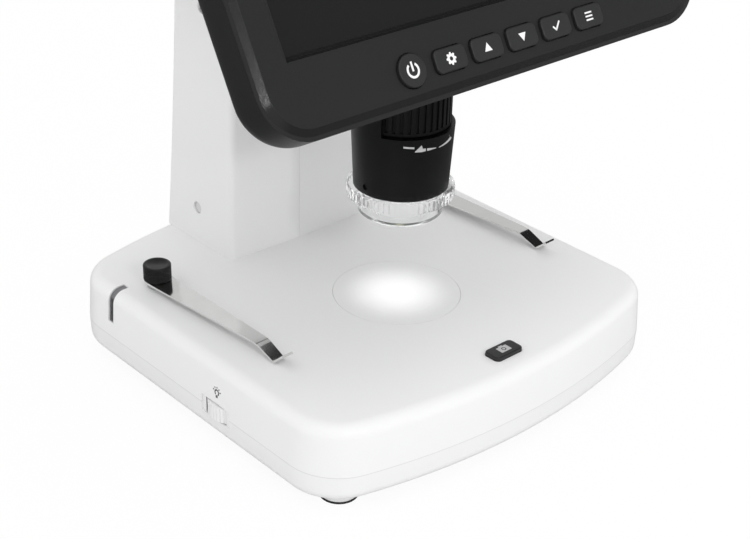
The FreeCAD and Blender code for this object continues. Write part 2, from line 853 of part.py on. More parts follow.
def make_stage_light():
    """Milky window, light well, board and lamps under the specimen."""
    disc = body("stage_diffuser")
    pad(disc, sketch_on(disc, "XY_Plane", "base_top_z - diffuser_thickness",
                        circle("0", "optical_axis_y", "diffuser_radius")), "diffuser_thickness")
    board_top = "light_board_z + board_thickness"
    height = f"base_top_z - base_wall - diffuser_ledge - ({board_top})"
    outer = cylinder("light_well_radius", height, "0", "optical_axis_y", board_top)
    inner = cylinder("light_well_radius - light_well_wall", height, "0", "optical_axis_y", board_top)
    node(cut(outer, inner), "light_well")
    board = cylinder("light_well_radius", "board_thickness", "0", "optical_axis_y", "light_board_z")
    node(board, "stage_led_board")
    lamps = [cylinder("led_radius", "led_height", "0", "optical_axis_y", board_top)]
    for i in range(6):
        x = f"stage_led_circle * cos({i * 60})"
        y = f"optical_axis_y + stage_led_circle * sin({i * 60})"
        lamps.append(cylinder("led_radius", "led_height", x, y, board_top))
    node(group(lamps), "stage_leds")


def make_shutter():
    """Photo button at the front of the stage, with its switch and board."""
    button = body("shutter_button")
    ceiling = "base_top_z - base_wall"
    half_length = "shutter_length / 2"
    half_width = "shutter_width / 2"
    flange_low = f"{ceiling} - button_flange_gap - button_flange_thickness"
    cap = round_rectangle(f"-{half_length}", f"shutter_y - {half_width}", half_length,
                          f"shutter_y + {half_width}", "shutter_round")
    pad(button, sketch_on(button, "XY_Plane", flange_low, cap), f"base_top_z + shutter_rise - ({flange_low})")
    top_level = value("base_top_z + shutter_rise")
    round_edges(button, "0.5", lambda edge: lies_at(edge, "Z", top_level))
    flange = rectangle(f"-{half_length} - button_flange", f"shutter_y - {half_width} - button_flange",
                       f"{half_length} + button_flange", f"shutter_y + {half_width} + button_flange")
    pad(button, sketch_on(button, "XY_Plane", flange_low, flange), "button_flange_thickness")
    switch_top = "shutter_board_z + board_thickness + 4"
    pad(button, sketch_on(button, "XY_Plane", f"{switch_top} + button_travel + 0.1", circle("0", "shutter_y", "1.4")),
        f"{flange_low} - ({switch_top}) - button_travel + 0.2")
    board_top = "shutter_board_z + board_thickness"
    board = box("-9", "shutter_y - 5", "shutter_board_z", "9", "shutter_y + 5", board_top)
    half = "switch_body / 2"
    case = box(f"-{half}", f"shutter_y - {half}", board_top, half, f"shutter_y + {half}", f"{board_top} + 3.2")
    plunger = cylinder("1.7", "0.8", "0", "shutter_y", f"{board_top} + 3.2")
    node(fuse(board, case, plunger), "shutter_switch")


def make_brightness_wheel():
    """Thumb wheel in the left wall, which dims the stage light, and its potentiometer."""
    centre_x = "wheel_rise * -1 - base_half_width + wheel_radius"
    low = "wheel_centre_z - wheel_thickness / 2"
    wheel = body("brightness_wheel")
    place(wheel, centre_x, "wheel_y", low)
    rim = circle("0", "0", "wheel_radius")
    bore = circle("0", "0", "pot_shaft_radius + running_gap")
    pad(wheel, sketch_on(wheel, "XY_Plane", "0", rim, bore), "wheel_thickness")
    notch = polygon(("wheel_radius - wheel_tooth_depth", "0"), ("wheel_radius + 0.3", "-0.55"),
                    ("wheel_radius + 0.3", "0.55"))
    groove = pocket(wheel, sketch_on(wheel, "XY_Plane", "0", notch), "wheel_thickness", backward=True)
    around(wheel, "wheel_teeth", groove)
    floor = "base_floor_z + base_wall"
    case = box(f"{centre_x} - pot_half_side", "wheel_y - pot_half_side", floor,
               f"{centre_x} + pot_half_side", "wheel_y + pot_half_side", f"{low} - 0.3")
    shaft = cylinder("pot_shaft_radius", f"wheel_thickness + 0.3 + 0.5", centre_x, "wheel_y", f"{low} - 0.3")
    node(fuse(case, shaft), "brightness_pot")


def make_base_electrics():
    """Battery, control board and power inlet inside the base."""
    floor = "base_floor_z + base_wall"
    cell_z = f"{floor} + cell_radius"
    cells_found = []
    for i in range(2):
        y = f"cell_first_y + {i} * (2 * cell_radius - 0.4)"
        cells_found.append(cylinder("cell_radius", "2 * cell_half_length", "-cell_half_length", y, cell_z, "x"))
    node(fuse(*cells_found), "battery_pack")
    board = box("control_left_x", "control_front_y", "light_board_z", "control_right_x", "control_rear_y",
                "light_board_z + board_thickness")
    node(board, "control_board")
    face_y = "base_half_depth - base_wall - 6"
    case = box("inlet_x - inlet_half_width", f"{face_y} - inlet_length", "inlet_z - inlet_half_height",
               "inlet_x + inlet_half_width", face_y, "inlet_z + inlet_half_height")
    nozzle = cylinder("inlet_bore", "5", "inlet_x", f"{face_y} - 1", "inlet_z", "y")
    bore = cylinder("inlet_bore - 0.6", "inlet_length", "inlet_x", f"{face_y} - 6", "inlet_z", "y")
    pin_round = cylinder("0.9", "7", "inlet_x", f"{face_y} - 6", "inlet_z", "y")
    node(fuse(cut(fuse(case, nozzle), bore), pin_round), "power_inlet")


def screw(x, y, z, length, axis="z"):
    """Make a pan-head screw with its head at a point and its shank along +axis."""
    head = cylinder("screw_head_radius", "screw_head_height", x, y, z, axis)
    shank = cylinder("screw_radius", length, x, y, z, axis)
    return fuse(head, shank)


def make_base_screws():
    """Four screws that close the base from below."""
    screws = []
    for x in ("base_screw_x", "-base_screw_x"):
        for y in ("base_screw_y", "-base_screw_y"):
            screws.append(screw(x, y, "base_floor_z + 0.3", "base_seam_z - base_floor_z + 5"))
    node(group(screws), "base_screws")


# Specimen clips


def make_clips():
    """Two spring clips, the rings they turn on and their knurled thumb screws."""
    posts = []
    for name, sign, turn in (("left", "-1", "clip_left_turn"), ("right", "1", "clip_right_turn")):
        x = f"{sign} * clip_across"
        ring = cylinder("clip_post_radius", "clip_post_height", x, "clip_y", "base_top_z")
        bore = cylinder("thumb_shank_radius + running_gap", "clip_post_height", x, "clip_y", "base_top_z")
        posts.append(cut(ring, bore))
        node(make_clip(x, turn), f"clip_{name}")
        make_thumb_screw(name, x)
    node(group(posts), "clip_posts")


def make_clip(x, turn):
    """Shape one clip: a tapered strip, bent down to the stage and up again at its tip."""
    low = value("clip_post_height + running_gap")
    half_wide = value("clip_wide") / 2
    thickness = value("clip_thickness")
    line = [
        (-half_wide, low),
        (value("clip_flat"), low),
        (value("clip_bend_reach"), value("clip_bend_height - clip_thickness")),
        (value("clip_touch_reach"), value("clip_touch_height - clip_thickness + 0.5")),
        (value("clip_tip_reach"), value("clip_tip_height - clip_thickness")),
    ]
    strip = bent_strip(line, 0.9, -thickness, -half_wide, half_wide)
    reach = value("clip_tip_reach") + 1
    half_narrow = value("clip_narrow") / 2
    plan_points = [Vector(half_wide, 0, -1), Vector(half_narrow, reach, -1), Vector(-half_narrow, reach, -1),
                   Vector(-half_wide, 0, -1)]
    sides = [Part.makeLine(a, b) for a, b in zip(plan_points, plan_points[1:])]
    heel = Part.Arc(plan_points[3], Vector(0, -half_wide, -1), plan_points[0]).toShape()
    plan = Part.Face(Part.Wire(sides + [heel])).extrude(UP * 12)
    hole = Part.makeCylinder(value("thumb_shank_radius + running_gap"), 8, Vector(0, 0, -1))
    clip = doc.addObject("Part::Feature", "Clip")
    clip.Shape = strip.common(plan).cut(hole)
    clip.Placement = FreeCAD.Placement(
        Vector(value(x), value("clip_y"), value("base_top_z")), Rotation(UP, 180 + value(turn)))
    return clip


def make_thumb_screw(name, x):
    """Knurled screw that holds a clip down."""
    thumb = body(f"thumb_screw_{name}")
    seat = "clip_post_height + 2 * running_gap + clip_thickness"
    place(thumb, x, "clip_y", f"base_top_z + {seat}")
    pad(thumb, sketch_on(thumb, "XY_Plane", "0", circle("0", "0", "thumb_radius")), "thumb_height")
    top_level = value("thumb_height")
    round_edges(thumb, "0.4", lambda edge: lies_at(edge, "Z", top_level))
    notch = polygon(("thumb_radius - thumb_tooth_depth", "0"), ("thumb_radius + 0.3", "-0.42"),
                    ("thumb_radius + 0.3", "0.42"))
    groove = pocket(thumb, sketch_on(thumb, "XY_Plane", "0.4", notch), "thumb_height - 1", backward=True)
    around(thumb, "thumb_teeth", groove)
    pad(thumb, sketch_on(thumb, "XY_Plane", "0.1", circle("0", "0", "thumb_shank_radius")),
        f"thumb_shank_length + {seat} - 1", backward=True)


# Column


def side_profile(inset, low, high):
    """Draw the column from the side: upright front, gently hollow rear."""

    def draw(sketch):
        front = f"column_front_y + ({inset})"
        rear = [(f"column_rear_y - ({inset})", low), (f"column_rear_top_y - ({inset})", high)]
        corners = [(front, high), (front, low), *rear]
        spots = [Vector(value(y), value(z), 0) for y, z in corners]
        first = sketch.GeometryCount
        for start, end in zip(spots, spots[1:3]):
            sketch.addGeometry(Part.LineSegment(start, end), False)
        radius = value("column_rear_radius")
        chord = spots[3] - spots[2]
        to_centre = Vector(chord.y, -chord.x, 0).normalize()
        centre = (spots[2] + spots[3]) * 0.5 + to_centre * math.sqrt(radius**2 - chord.Length**2 / 4)
        angles = [math.atan2(*reversed(tuple(spot - centre)[:2])) % (2 * math.pi) for spot in spots[2:]]
        sketch.addGeometry(arc((centre.x, centre.y), radius, angles[1], angles[0]), False)
        sketch.addGeometry(Part.LineSegment(spots[3], spots[0]), False)
        joints = [(0, 2, 1, 1), (1, 2, 2, 2), (2, 1, 3, 1), (3, 2, 0, 1)]
        for edge, end, other, start in joints:
            sketch.addConstraint(Sketcher.Constraint("Coincident", first + edge, end, first + other, start))
        for edge, corner in ((0, corners[0]), (1, corners[1])):
            pin(sketch, first + edge, 1, *corner)
        pin(sketch, first + 1, 2, *rear[0])
        pin(sketch, first + 3, 1, *rear[1])
        set_radius(sketch, first + 2, "column_rear_radius")

    return draw


def front_profile(inset, low, high):
    """Draw the column from the front: sides that lean inward."""

    def half(height):
        return f"column_half_width - ({inset}) - (({height}) - base_top_z) * tan(column_side_slope)"

    return polygon((f"-({half(low)})", low), (half(low), low), (half(high), high), (f"-({half(high)})", high))


def column_solid(inset, low, high):
    """Make the column's form, drawn inset from its outer faces."""
    side = prism("YZ", "0", "4 * column_half_width", side_profile(inset, low, high))
    face = prism("XZ", "column_rear_y", "4 * column_rear_y", front_profile(inset, low, high))
    crown_y = f"column_front_y + ({inset}) + column_crown_radius"
    crown = cylinder("column_crown_radius", f"({high}) - ({low})", "0", crown_y, low)
    return common(side, face, crown)


def make_column():
    """Two moulded halves that meet at the middle, with sockets and bosses inside."""
    top = "column_top_z"
    solid = column_solid("0", "base_top_z", top)
    doc.recompute()
    top_level = value(top)

    def crosses_top(edge):
        box_found = edge.BoundBox
        return lies_at(edge, "Z", top_level) and box_found.XLength > box_found.YLength

    eased = fillet(solid, "column_top_round", crosses_top)
    base_level = value("base_top_z")
    eased = fillet(eased, "column_edge_round", lambda edge: not lies_at(edge, "Z", base_level)
                   and (edge.BoundBox.YLength > 10 or edge.BoundBox.ZLength > 10)
                   and edge.BoundBox.XLength < 12)
    wall = "column_wall"
    inner_low = "base_top_z + column_flange"
    inner_high = "column_top_z - 2.5 * column_wall"
    for name, sign in (("left", "-1"), ("right", "1")):
        shell = cut(eased, column_solid(wall, inner_low, inner_high))
        outward = f"{sign} * column_half_width"
        additions = [shell]
        for low in ("rod_low_z", "rod_high_z - rod_socket"):
            additions.append(rod_socket(sign, low))
        for y, z in COLUMN_SCREWS:
            length = f"column_half_width - (({z}) - base_top_z) * tan(column_side_slope) - column_wall / 2"
            start = f"-({length})" if sign == "-1" else "0"
            additions.append(cylinder("column_boss_radius", length, start, y, z, "x"))
        solid_half = fuse(*additions)
        slot = box("-column_slot_half_width", "column_front_y - 5", "column_slot_low_z",
                   "column_slot_half_width", "column_front_y + column_wall + 2", "column_slot_high_z")
        bush_hole = cylinder("shaft_radius + bush_wall + fit_gap / 2", "4 * column_half_width",
                             "-2 * column_half_width", shaft_y(), "shaft_z", "x")
        tools = [slot, bush_hole]
        for x in (f"{sign} * column_foot_screw_x",):
            for y in ("column_foot_screw_front_y", "column_foot_screw_rear_y"):
                tools.append(cylinder("screw_radius", "column_flange + 2", x, y, "base_top_z - 1"))
        tools.append(box("-8", "49", "base_top_z - 1", "8", "59", f"{inner_low} + 1"))
        for x in ("rod_across", "-rod_across"):
            tools.append(cylinder("rod_radius", "rod_high_z - rod_low_z", x, "rod_y", "rod_low_z"))
        for y, z in COLUMN_SCREWS:
            surface = f"column_half_width - (({z}) - base_top_z) * tan(column_side_slope)"
            tools.append(cylinder("screw_radius + fit_gap / 2", "3 * column_half_width",
                                  f"-({surface}) - 1", y, z, "x"))
            tools.append(cylinder("column_screw_recess", "column_screw_depth + 1", f"-({surface}) - 1", y, z, "x"))
        seam = "fit_gap / 2"
        keep_left = "-2 * column_half_width" if sign == "-1" else seam
        keep_right = f"-{seam}" if sign == "-1" else "2 * column_half_width"
        half_space = box(keep_left, "0", "base_top_z - 1", keep_right, "2 * column_rear_y", "column_top_z + 1")
        node(common(cut(solid_half, *tools), half_space), f"column_shell_{name}")


COLUMN_SCREWS = [
    ("column_screw_low_y", "column_screw_low_z"),
    ("column_screw_mid_y", "column_screw_mid_z"),
    ("column_screw_high_y", "column_screw_high_z"),
]


def rod_socket(sign, low):
    """Make the block that holds one end of a guide rod, run out to the column's side wall."""
    width = "rod_radius + rod_socket_wall"
    reach = "column_half_width - (rod_high_z - base_top_z) * tan(column_side_slope) - column_wall / 2"
    ends = [f"{sign} * (rod_across - {width})", f"{sign} * ({reach})"]
    left, right = ends if sign == "1" else reversed(ends)
    rear = "rod_y + rod_radius + rod_socket_wall"
    return box(left, "column_front_y + column_wall / 2", low, right, rear, f"{low} + rod_socket")


def make_column_screws():
    """Screws that join the two halves, and those that hold the column on the base."""
    joining = []
    for y, z in COLUMN_SCREWS:
        surface = f"column_half_width - (({z}) - base_top_z) * tan(column_side_slope)"
        joining.append(screw(f"-({surface}) + column_screw_depth - screw_head_height", y, z, f"{surface} + 8", axis="x"))
    node(group(joining), "column_joining_screws")
    holding = []
    for x in ("-column_foot_screw_x", "column_foot_screw_x"):
        for y in ("column_foot_screw_front_y", "column_foot_screw_rear_y"):
            low = "base_top_z - base_wall - screw_head_height"
            holding.append(screw(x, y, low, "base_wall + screw_head_height + column_flange"))
    node(group(holding), "column_foot_screws")


# Focus drive


def shaft_y():
    """Place of the pinion shaft behind the rack's pitch line."""
    return "(carriage_rear_y - 1.8 + gear_module * pinion_teeth / 2)"


def rack_pitch_y():
    """Place of the rack's pitch line."""
    return "(carriage_rear_y - 1.8)"


def make_focus_drive():
    """Rods, carriage with its arm, rack and pinion, shaft, bushes and knobs."""
    rods = []
    for x in ("-rod_across", "rod_across"):
        rods.append(cylinder("rod_radius", "rod_high_z - rod_low_z", x, "rod_y", "rod_low_z"))
    node(group(rods), "guide_rods")
    make_carriage()
    make_rack()
    make_pinion()
    make_shaft()
    make_knobs()


def knob_face():
    """Inner face of a knob, clear of the column's side at the level of the knob's foot."""
    return "(column_half_width - (shaft_z - knob_radius - base_top_z) * tan(column_side_slope) + knob_gap)"


def make_carriage():
    """Metal slide on the two rods, with the arm that reaches through the slot to the head."""
    block = box("-carriage_half_width", "carriage_front_y", "carriage_low_z", "carriage_half_width",
                "carriage_rear_y", "carriage_high_z")
    arm = box("-arm_half_width", "arm_front_y", "arm_low_z", "arm_half_width", "carriage_front_y + 1", "arm_high_z")
    trough = box("-rack_half_width - 5", "carriage_front_y + carriage_web", "carriage_low_z - 1",
                 "rack_half_width + 5", "carriage_rear_y + 1", "carriage_high_z + 1")
    tools = [trough]
    for x in ("-rod_across", "rod_across"):
        tools.append(cylinder("rod_radius + running_gap", "carriage_high_z - carriage_low_z + 2", x, "rod_y",
                              "carriage_low_z - 1"))
    lightening = box("-arm_half_width + 4", "arm_front_y + 5", "arm_low_z - 1", "arm_half_width - 4",
                     "carriage_front_y - 3", "arm_high_z + 1")
    node(cut(fuse(block, arm), *tools, lightening), "focus_carriage")


def make_rack():
    """Toothed bar on the rear of the carriage."""
    back = "carriage_front_y + carriage_web"
    pitch = math.pi * value("gear_module")
    module = value("gear_module")
    line = value(rack_pitch_y())
    slope = math.tan(math.radians(20))
    low, high = value("rack_low_z"), value("rack_high_z")
    first = math.ceil((low + 0.5 * pitch - value("shaft_z")) / pitch - 0.5)
    last = math.floor((high - 0.5 * pitch - value("shaft_z")) / pitch - 0.5)
    root, tip = line - 1.25 * module, line + module
    half_tooth = pitch / 4 - value("tooth_backlash") / 2
    points = [(value(back), low), (root, low)]
    for i in range(first, last + 1):
        centre = value("shaft_z") + (i + 0.5) * pitch
        wide = half_tooth + 1.25 * module * slope
        narrow = half_tooth - module * slope
        points += [(root, centre - wide), (tip, centre - narrow), (tip, centre + narrow), (root, centre + wide)]
    points += [(root, high), (value(back), high)]
    outline = Part.makePolygon([Vector(0, y, z) for y, z in points + points[:1]])
    half = value("rack_half_width")
    rack = doc.addObject("Part::Feature", "Rack")
    rack.Shape = Part.Face(outline).extrude(ACROSS * 2 * half)
    rack.Placement.Base = ACROSS * -half
    node(rack, "focus_rack")


def involute_flank(base_radius, from_radius, to_radius, steps=5):
    """Points of an involute as radius and angle, from one radius to another."""
    points = []
    for i in range(steps + 1):
        radius = from_radius + (to_radius - from_radius) * i / steps
        roll = math.sqrt(max((radius / base_radius) ** 2 - 1, 0))
        points.append((radius, roll - math.atan(roll)))
    return points


def make_pinion():
    """Involute pinion on the knob shaft, with a tooth space facing each rack tooth."""
    module, teeth = value("gear_module"), int(value("pinion_teeth"))
    pitch_radius = module * teeth / 2
    base_radius = pitch_radius * math.cos(math.radians(20))
    tip, root = pitch_radius + module, pitch_radius - 1.25 * module
    flank = involute_flank(base_radius, max(base_radius, root), tip)
    roll = math.sqrt((pitch_radius / base_radius) ** 2 - 1)
    at_pitch = roll - math.atan(roll)
    half_tooth = math.pi / (2 * teeth) - value("tooth_backlash") / 2 / pitch_radius
    points = []
    for i in range(teeth):
        middle = math.pi + 2 * math.pi * i / teeth
        rising = [(root, -half_tooth - at_pitch)]
        rising += [(radius, angle - at_pitch - half_tooth) for radius, angle in flank]
        falling = [(radius, -angle) for radius, angle in reversed(rising)]
        for radius, angle in rising + falling:
            turned = middle + angle
            points.append(Vector(0, radius * math.cos(turned), radius * math.sin(turned)))
    outline = Part.makePolygon(points + points[:1])
    half = value("pinion_width") / 2
    solid = Part.Face(outline).extrude(ACROSS * 2 * half)
    bore = Part.makeCylinder(value("shaft_radius"), 2 * half, Vector(), ACROSS)
    pinion = doc.addObject("Part::Feature", "Pinion")
    pinion.Shape = solid.cut(bore)
    pinion.Placement.Base = Vector(-half, value(shaft_y()), value("shaft_z"))
    node(pinion, "focus_pinion")


def make_shaft():
    """Knob shaft and the two bushes it runs in."""
    end = f"{knob_face()} + knob_length - 4"
    node(cylinder("shaft_radius", f"2 * ({end})", f"-({end})", shaft_y(), "shaft_z", "x"), "focus_shaft")
    bushes = []
    for sign in ("-1", "1"):
        outer_end = f"{knob_face()} - knob_gap - 0.1"
        start = f"-({outer_end})" if sign == "-1" else f"{outer_end} - bush_length"
        outer = cylinder("shaft_radius + bush_wall", "bush_length", start, shaft_y(), "shaft_z", "x")
        inner = cylinder("shaft_radius + running_gap", "bush_length", start, shaft_y(), "shaft_z", "x")
        bushes.append(cut(outer, inner))
    node(group(bushes), "shaft_bushes")


def make_knobs():
    """Two grooved knobs outside the column."""
    for name, sign in (("left", -1), ("right", 1)):
        knob = body(f"focus_knob_{name}")
        knob.Placement = FreeCAD.Placement(Vector(), Rotation(Vector(0, 1, 0), 90 * sign))
        place(knob, f"{sign} * ({knob_face()})", shaft_y(), "shaft_z")
        pad(knob, sketch_on(knob, "XY_Plane", "0", circle("0", "0", "knob_radius")), "knob_length")
        end_level = value("knob_length")
        round_edges(knob, "1.2", lambda edge: lies_at(edge, "Z", end_level))
        recess = circle("0", "0", "knob_radius - 3")
        pocket(knob, sketch_on(knob, "XY_Plane", "knob_length", recess), "knob_recess_depth")
        bore = circle("0", "0", "shaft_radius")
        pocket(knob, sketch_on(knob, "XY_Plane", "0", bore), "knob_length - 4", backward=True)
        grip = circle("knob_radius + 0.5", "0", "knob_grip_radius")
        groove = pocket(knob, sketch_on(knob, "XY_Plane", "2", grip), "knob_length", backward=True)
        around(knob, "knob_grips", groove)


# Head and camera tube


def head_outline(inset, low):
    """Draw the head from the side."""
    wall = f"({inset})"
    return polygon((f"head_rear_y - {wall}", low), (f"head_front_y + {wall}", low),
                   (f"head_front_y + {wall}", f"head_slope_z - {wall} * 0.3"),
                   (f"head_top_front_y + {wall} * 0.65", f"head_top_z - {wall}"),
                   (f"head_rear_y - {wall}", f"head_top_z - {wall}"))


def make_head():
    """Moulded head housing with its floor plate."""
    outer = prism("YZ", "0", "2 * head_half_width", head_outline("0", "head_low_z"))
    low_level = value("head_low_z")
    eased = fillet(outer, "head_round", lambda edge: not lies_at(edge, "Z", low_level))
    inner = prism("YZ", "0", "2 * (head_half_width - head_wall)", head_outline("head_wall", "head_low_z - 1"))
    neck = box("-arm_half_width - fit_gap", "head_rear_y - head_wall - 1", "arm_low_z - fit_gap",
               "arm_half_width + fit_gap", "head_rear_y + 1", "arm_high_z + fit_gap")
    bosses = []
    holes = []
    floor_top = "head_low_z + head_floor_thickness"
    for x in ("-head_boss_x", "head_boss_x"):
        for y in ("head_boss_front_y", "head_boss_rear_y"):
            bosses.append(cylinder("head_boss_radius", f"head_top_z - head_wall / 2 - ({floor_top})", x, y, floor_top))
            holes.append(cylinder("screw_radius", "9", x, y, floor_top))
    housing = cut(fuse(cut(eased, inner, neck), *bosses), *holes)
    node(housing, "head_housing")
    inset = "head_wall + fit_gap"
    plate = box(f"-head_half_width + {inset}", f"head_front_y + {inset}", "head_low_z",
                f"head_half_width - ({inset})", f"head_rear_y - ({inset})", floor_top)
    mouth = cylinder("tube_shelf_radius + fit_gap", "head_floor_thickness", "0", "optical_axis_y", "head_low_z")
    screw_holes = []
    screws = []
    for x in ("-head_boss_x", "head_boss_x"):
        for y in ("head_boss_front_y", "head_boss_rear_y"):
            screw_holes.append(cylinder("screw_radius + fit_gap", "head_floor_thickness", x, y, "head_low_z"))
            screw_holes.append(cylinder("screw_head_radius + fit_gap", "screw_head_height", x, y, "head_low_z"))
            screws.append(screw(x, y, "head_low_z", "11"))
    node(cut(plate, mouth, *screw_holes), "head_floor")
    node(group(screws), "head_screws")


def half_section(*points):
    """Draw one side of a turned piece: pairs of radius and height."""
    return polygon(*points)


def make_tube_housing():
    """Black tube: a cone with a shelf, then a sleeve with an open front over the focus ring."""
    tube = body("tube_housing")
    place(tube, y="optical_axis_y")
    sleeve_bore = "focus_ring_radius + fit_gap"
    flange_low = "head_low_z + head_floor_thickness"
    revolve(tube, half_section(
        ("tube_bore_radius", "tube_low_z"),
        ("tube_low_radius", "tube_low_z"),
        ("tube_shelf_radius", "tube_shelf_z"),
        ("tube_shelf_radius", flange_low),
        ("tube_flange_radius", flange_low),
        ("tube_flange_radius", f"{flange_low} + tube_flange_height"),
        ("tube_shelf_radius", f"{flange_low} + tube_flange_height"),
        ("tube_shelf_radius", "tube_top_z"),
        (sleeve_bore, "tube_top_z"),
        (sleeve_bore, "tube_shelf_z"),
        ("tube_bore_radius", "tube_shelf_z"),
    ))
    far = "3 * tube_shelf_radius"
    wedge = polygon(("0", "0"), (f"-{far} * sin(window_half_angle)", f"-{far} * cos(window_half_angle)"),
                    ("0", f"-2 * {far}"), (f"{far} * sin(window_half_angle)", f"-{far} * cos(window_half_angle)"))
    pocket(tube, sketch_on(tube, "XY_Plane", "tube_shelf_z", wedge), "head_low_z - tube_shelf_z", backward=True)
    hole = circle("0", "tube_low_z + set_screw_rise", "set_screw_radius + 0.25")
    pocket(tube, sketch_on(tube, "YZ_Plane", "-tube_shelf_radius", hole), "4", backward=True)
    grub = cylinder("set_screw_radius", "1.4", "-tube_low_radius + 0.5", "optical_axis_y",
                    "tube_low_z + set_screw_rise", "x")
    node(grub, "tube_set_screw")


def make_focus_ring():
    """Ribbed ring behind the front opening, with the inner web that drives the lens barrel."""
    ring = body("focus_ring")
    place(ring, y="optical_axis_y")
    inner = "focus_ring_radius - focus_ring_wall"
    web_low = "(focus_ring_low_z + focus_ring_high_z - focus_web_height) / 2"
    revolve(ring, half_section(
        (inner, "focus_ring_low_z"),
        ("focus_ring_radius", "focus_ring_low_z"),
        ("focus_ring_radius", "focus_ring_high_z"),
        (inner, "focus_ring_high_z"),
        (inner, f"{web_low} + focus_web_height"),
        ("barrel_radius + running_gap", f"{web_low} + focus_web_height"),
        ("barrel_radius + running_gap", web_low),
        (inner, web_low),
    ))
    notch = polygon(("focus_ring_radius - focus_rib_depth", "-0.45"), ("focus_ring_radius + 0.4", "-0.6"),
                    ("focus_ring_radius + 0.4", "0.6"), ("focus_ring_radius - focus_rib_depth", "0.45"))
    groove = pocket(ring, sketch_on(ring, "XY_Plane", "focus_ring_low_z + 1", notch),
                    "focus_ring_high_z - focus_ring_low_z", backward=True)
    around(ring, "focus_ring_ribs", groove)


def make_lens():
    """Lens barrel that the focus ring raises and lowers, and its front lens."""
    barrel = body("lens_barrel")
    place(barrel, y="optical_axis_y")
    inner = "barrel_radius - barrel_wall"
    seat = "barrel_low_z + 1 + lens_thickness"
    revolve(barrel, half_section(
        (f"{inner} - 2", "barrel_low_z"),
        ("barrel_radius", "barrel_low_z"),
        ("barrel_radius", "barrel_high_z"),
        (inner, "barrel_high_z"),
        (inner, "barrel_low_z + 1"),
        (f"{inner} - 2", "barrel_low_z + 1"),
    ))
    lens = body("objective_lens")
    place(lens, y="optical_axis_y")
    revolve(lens, half_section(
        ("0", "barrel_low_z + 1.6"),
        (f"{inner} - 2.4", "barrel_low_z + 1"),
        (inner, "barrel_low_z + 1"),
        (inner, seat),
        ("0", f"{seat} + 0.8"),
    ))


def make_camera():
    """Sensor with its board, and the ring of lamps round the lens."""
    board = cylinder("tube_shelf_radius - 0.4", "board_thickness", "0", "optical_axis_y", "tube_top_z")
    half = "sensor_half_side"
    chip = box(f"-{half}", f"optical_axis_y - {half}", "tube_top_z - sensor_height", half,
               f"optical_axis_y + {half}", "tube_top_z")
    node(fuse(board, chip), "camera_board")
    outer = cylinder("ring_board_radius", "board_thickness", "0", "optical_axis_y", "ring_board_z")
    inner = cylinder("ring_board_bore", "board_thickness", "0", "optical_axis_y", "ring_board_z")
    node(cut(outer, inner), "ring_led_board")
    lamps = []
    for i in range(8):
        x = f"ring_led_circle * cos({i * 45})"
        y = f"optical_axis_y + ring_led_circle * sin({i * 45})"
        lamps.append(cylinder("led_radius", "led_height", x, y, "ring_board_z - led_height"))
    node(group(lamps), "ring_leds")


def make_nose():
    """Clear snap-on cap with a ribbed collar, which sets the nearest distance to the specimen."""
    nose = body("clear_nose")
    place(nose, y="optical_axis_y")
    revolve(nose, half_section(
        ("nose_bore_radius", "nose_low_z"),
        ("nose_radius - 0.8", "nose_low_z"),
        ("nose_radius", "nose_low_z + 0.8"),
        ("nose_radius", "nose_collar_low_z - 1"),
        ("nose_collar_radius - 1.5", "nose_collar_low_z"),
        ("nose_collar_radius", "nose_collar_low_z + 0.6"),
        ("nose_collar_radius", "nose_collar_high_z - 0.4"),
        ("nose_collar_radius - 0.4", "nose_collar_high_z"),
        ("tube_low_radius + fit_gap", "nose_collar_high_z"),
        ("tube_low_radius + fit_gap", "tube_low_z"),
        ("tube_bore_radius - fit_gap", "tube_low_z"),
        ("nose_radius - nose_wall", "nose_collar_low_z"),
        ("nose_radius - nose_wall", "nose_low_z + nose_wall"),
        ("nose_bore_radius", "nose_low_z + nose_wall"),
    ))
    notch = polygon(("nose_collar_radius - nose_rib_depth", "0"), ("nose_collar_radius + 0.3", "-0.7"),
                    ("nose_collar_radius + 0.3", "0.7"))
    groove = pocket(nose, sketch_on(nose, "XY_Plane", "nose_collar_low_z", notch),
                    "nose_collar_high_z - nose_collar_low_z + 1", backward=True)
    around(nose, "nose_ribs", groove)


# Display


def lean_back(item, u="0"):
    """Place a piece drawn in the plane of the display's face."""
    angle = 90 - value("display_lean")
    item.Placement = FreeCAD.Placement(Vector(), Rotation(ACROSS, angle))
    return place(item, u, "display_y", "display_z")


def display_outline(inset):
    """Draw the outline of the display housing, inset from its real one."""
    return round_rectangle(f"-display_half_width + ({inset})", inset, f"display_half_width - ({inset})",
                           f"display_height - ({inset})", f"display_corner - ({inset})")


def key_places():
    """Name, place across and shape of each key, from left to right."""
    names = ["settings_key", "up_key", "down_key", "confirm_key", "menu_key"]
    keys = [(name, f"(key_first + {i} * key_pitch)") for i, name in enumerate(names)]
    return [("power_key", "power_key_u")] + keys


def key_shape(name, u, grow):
    """Draw the outline of a key, grown by a formula."""
    if name == "power_key":
        return circle(u, "key_row", f"power_key_radius + ({grow})")
    half_width = f"(key_width / 2 + ({grow}))"
    half_height = f"(key_height / 2 + ({grow}))"
    return round_rectangle(f"{u} - {half_width}", f"key_row - {half_height}", f"{u} + {half_width}",
                           f"key_row + {half_height}", f"key_corner + ({grow})")


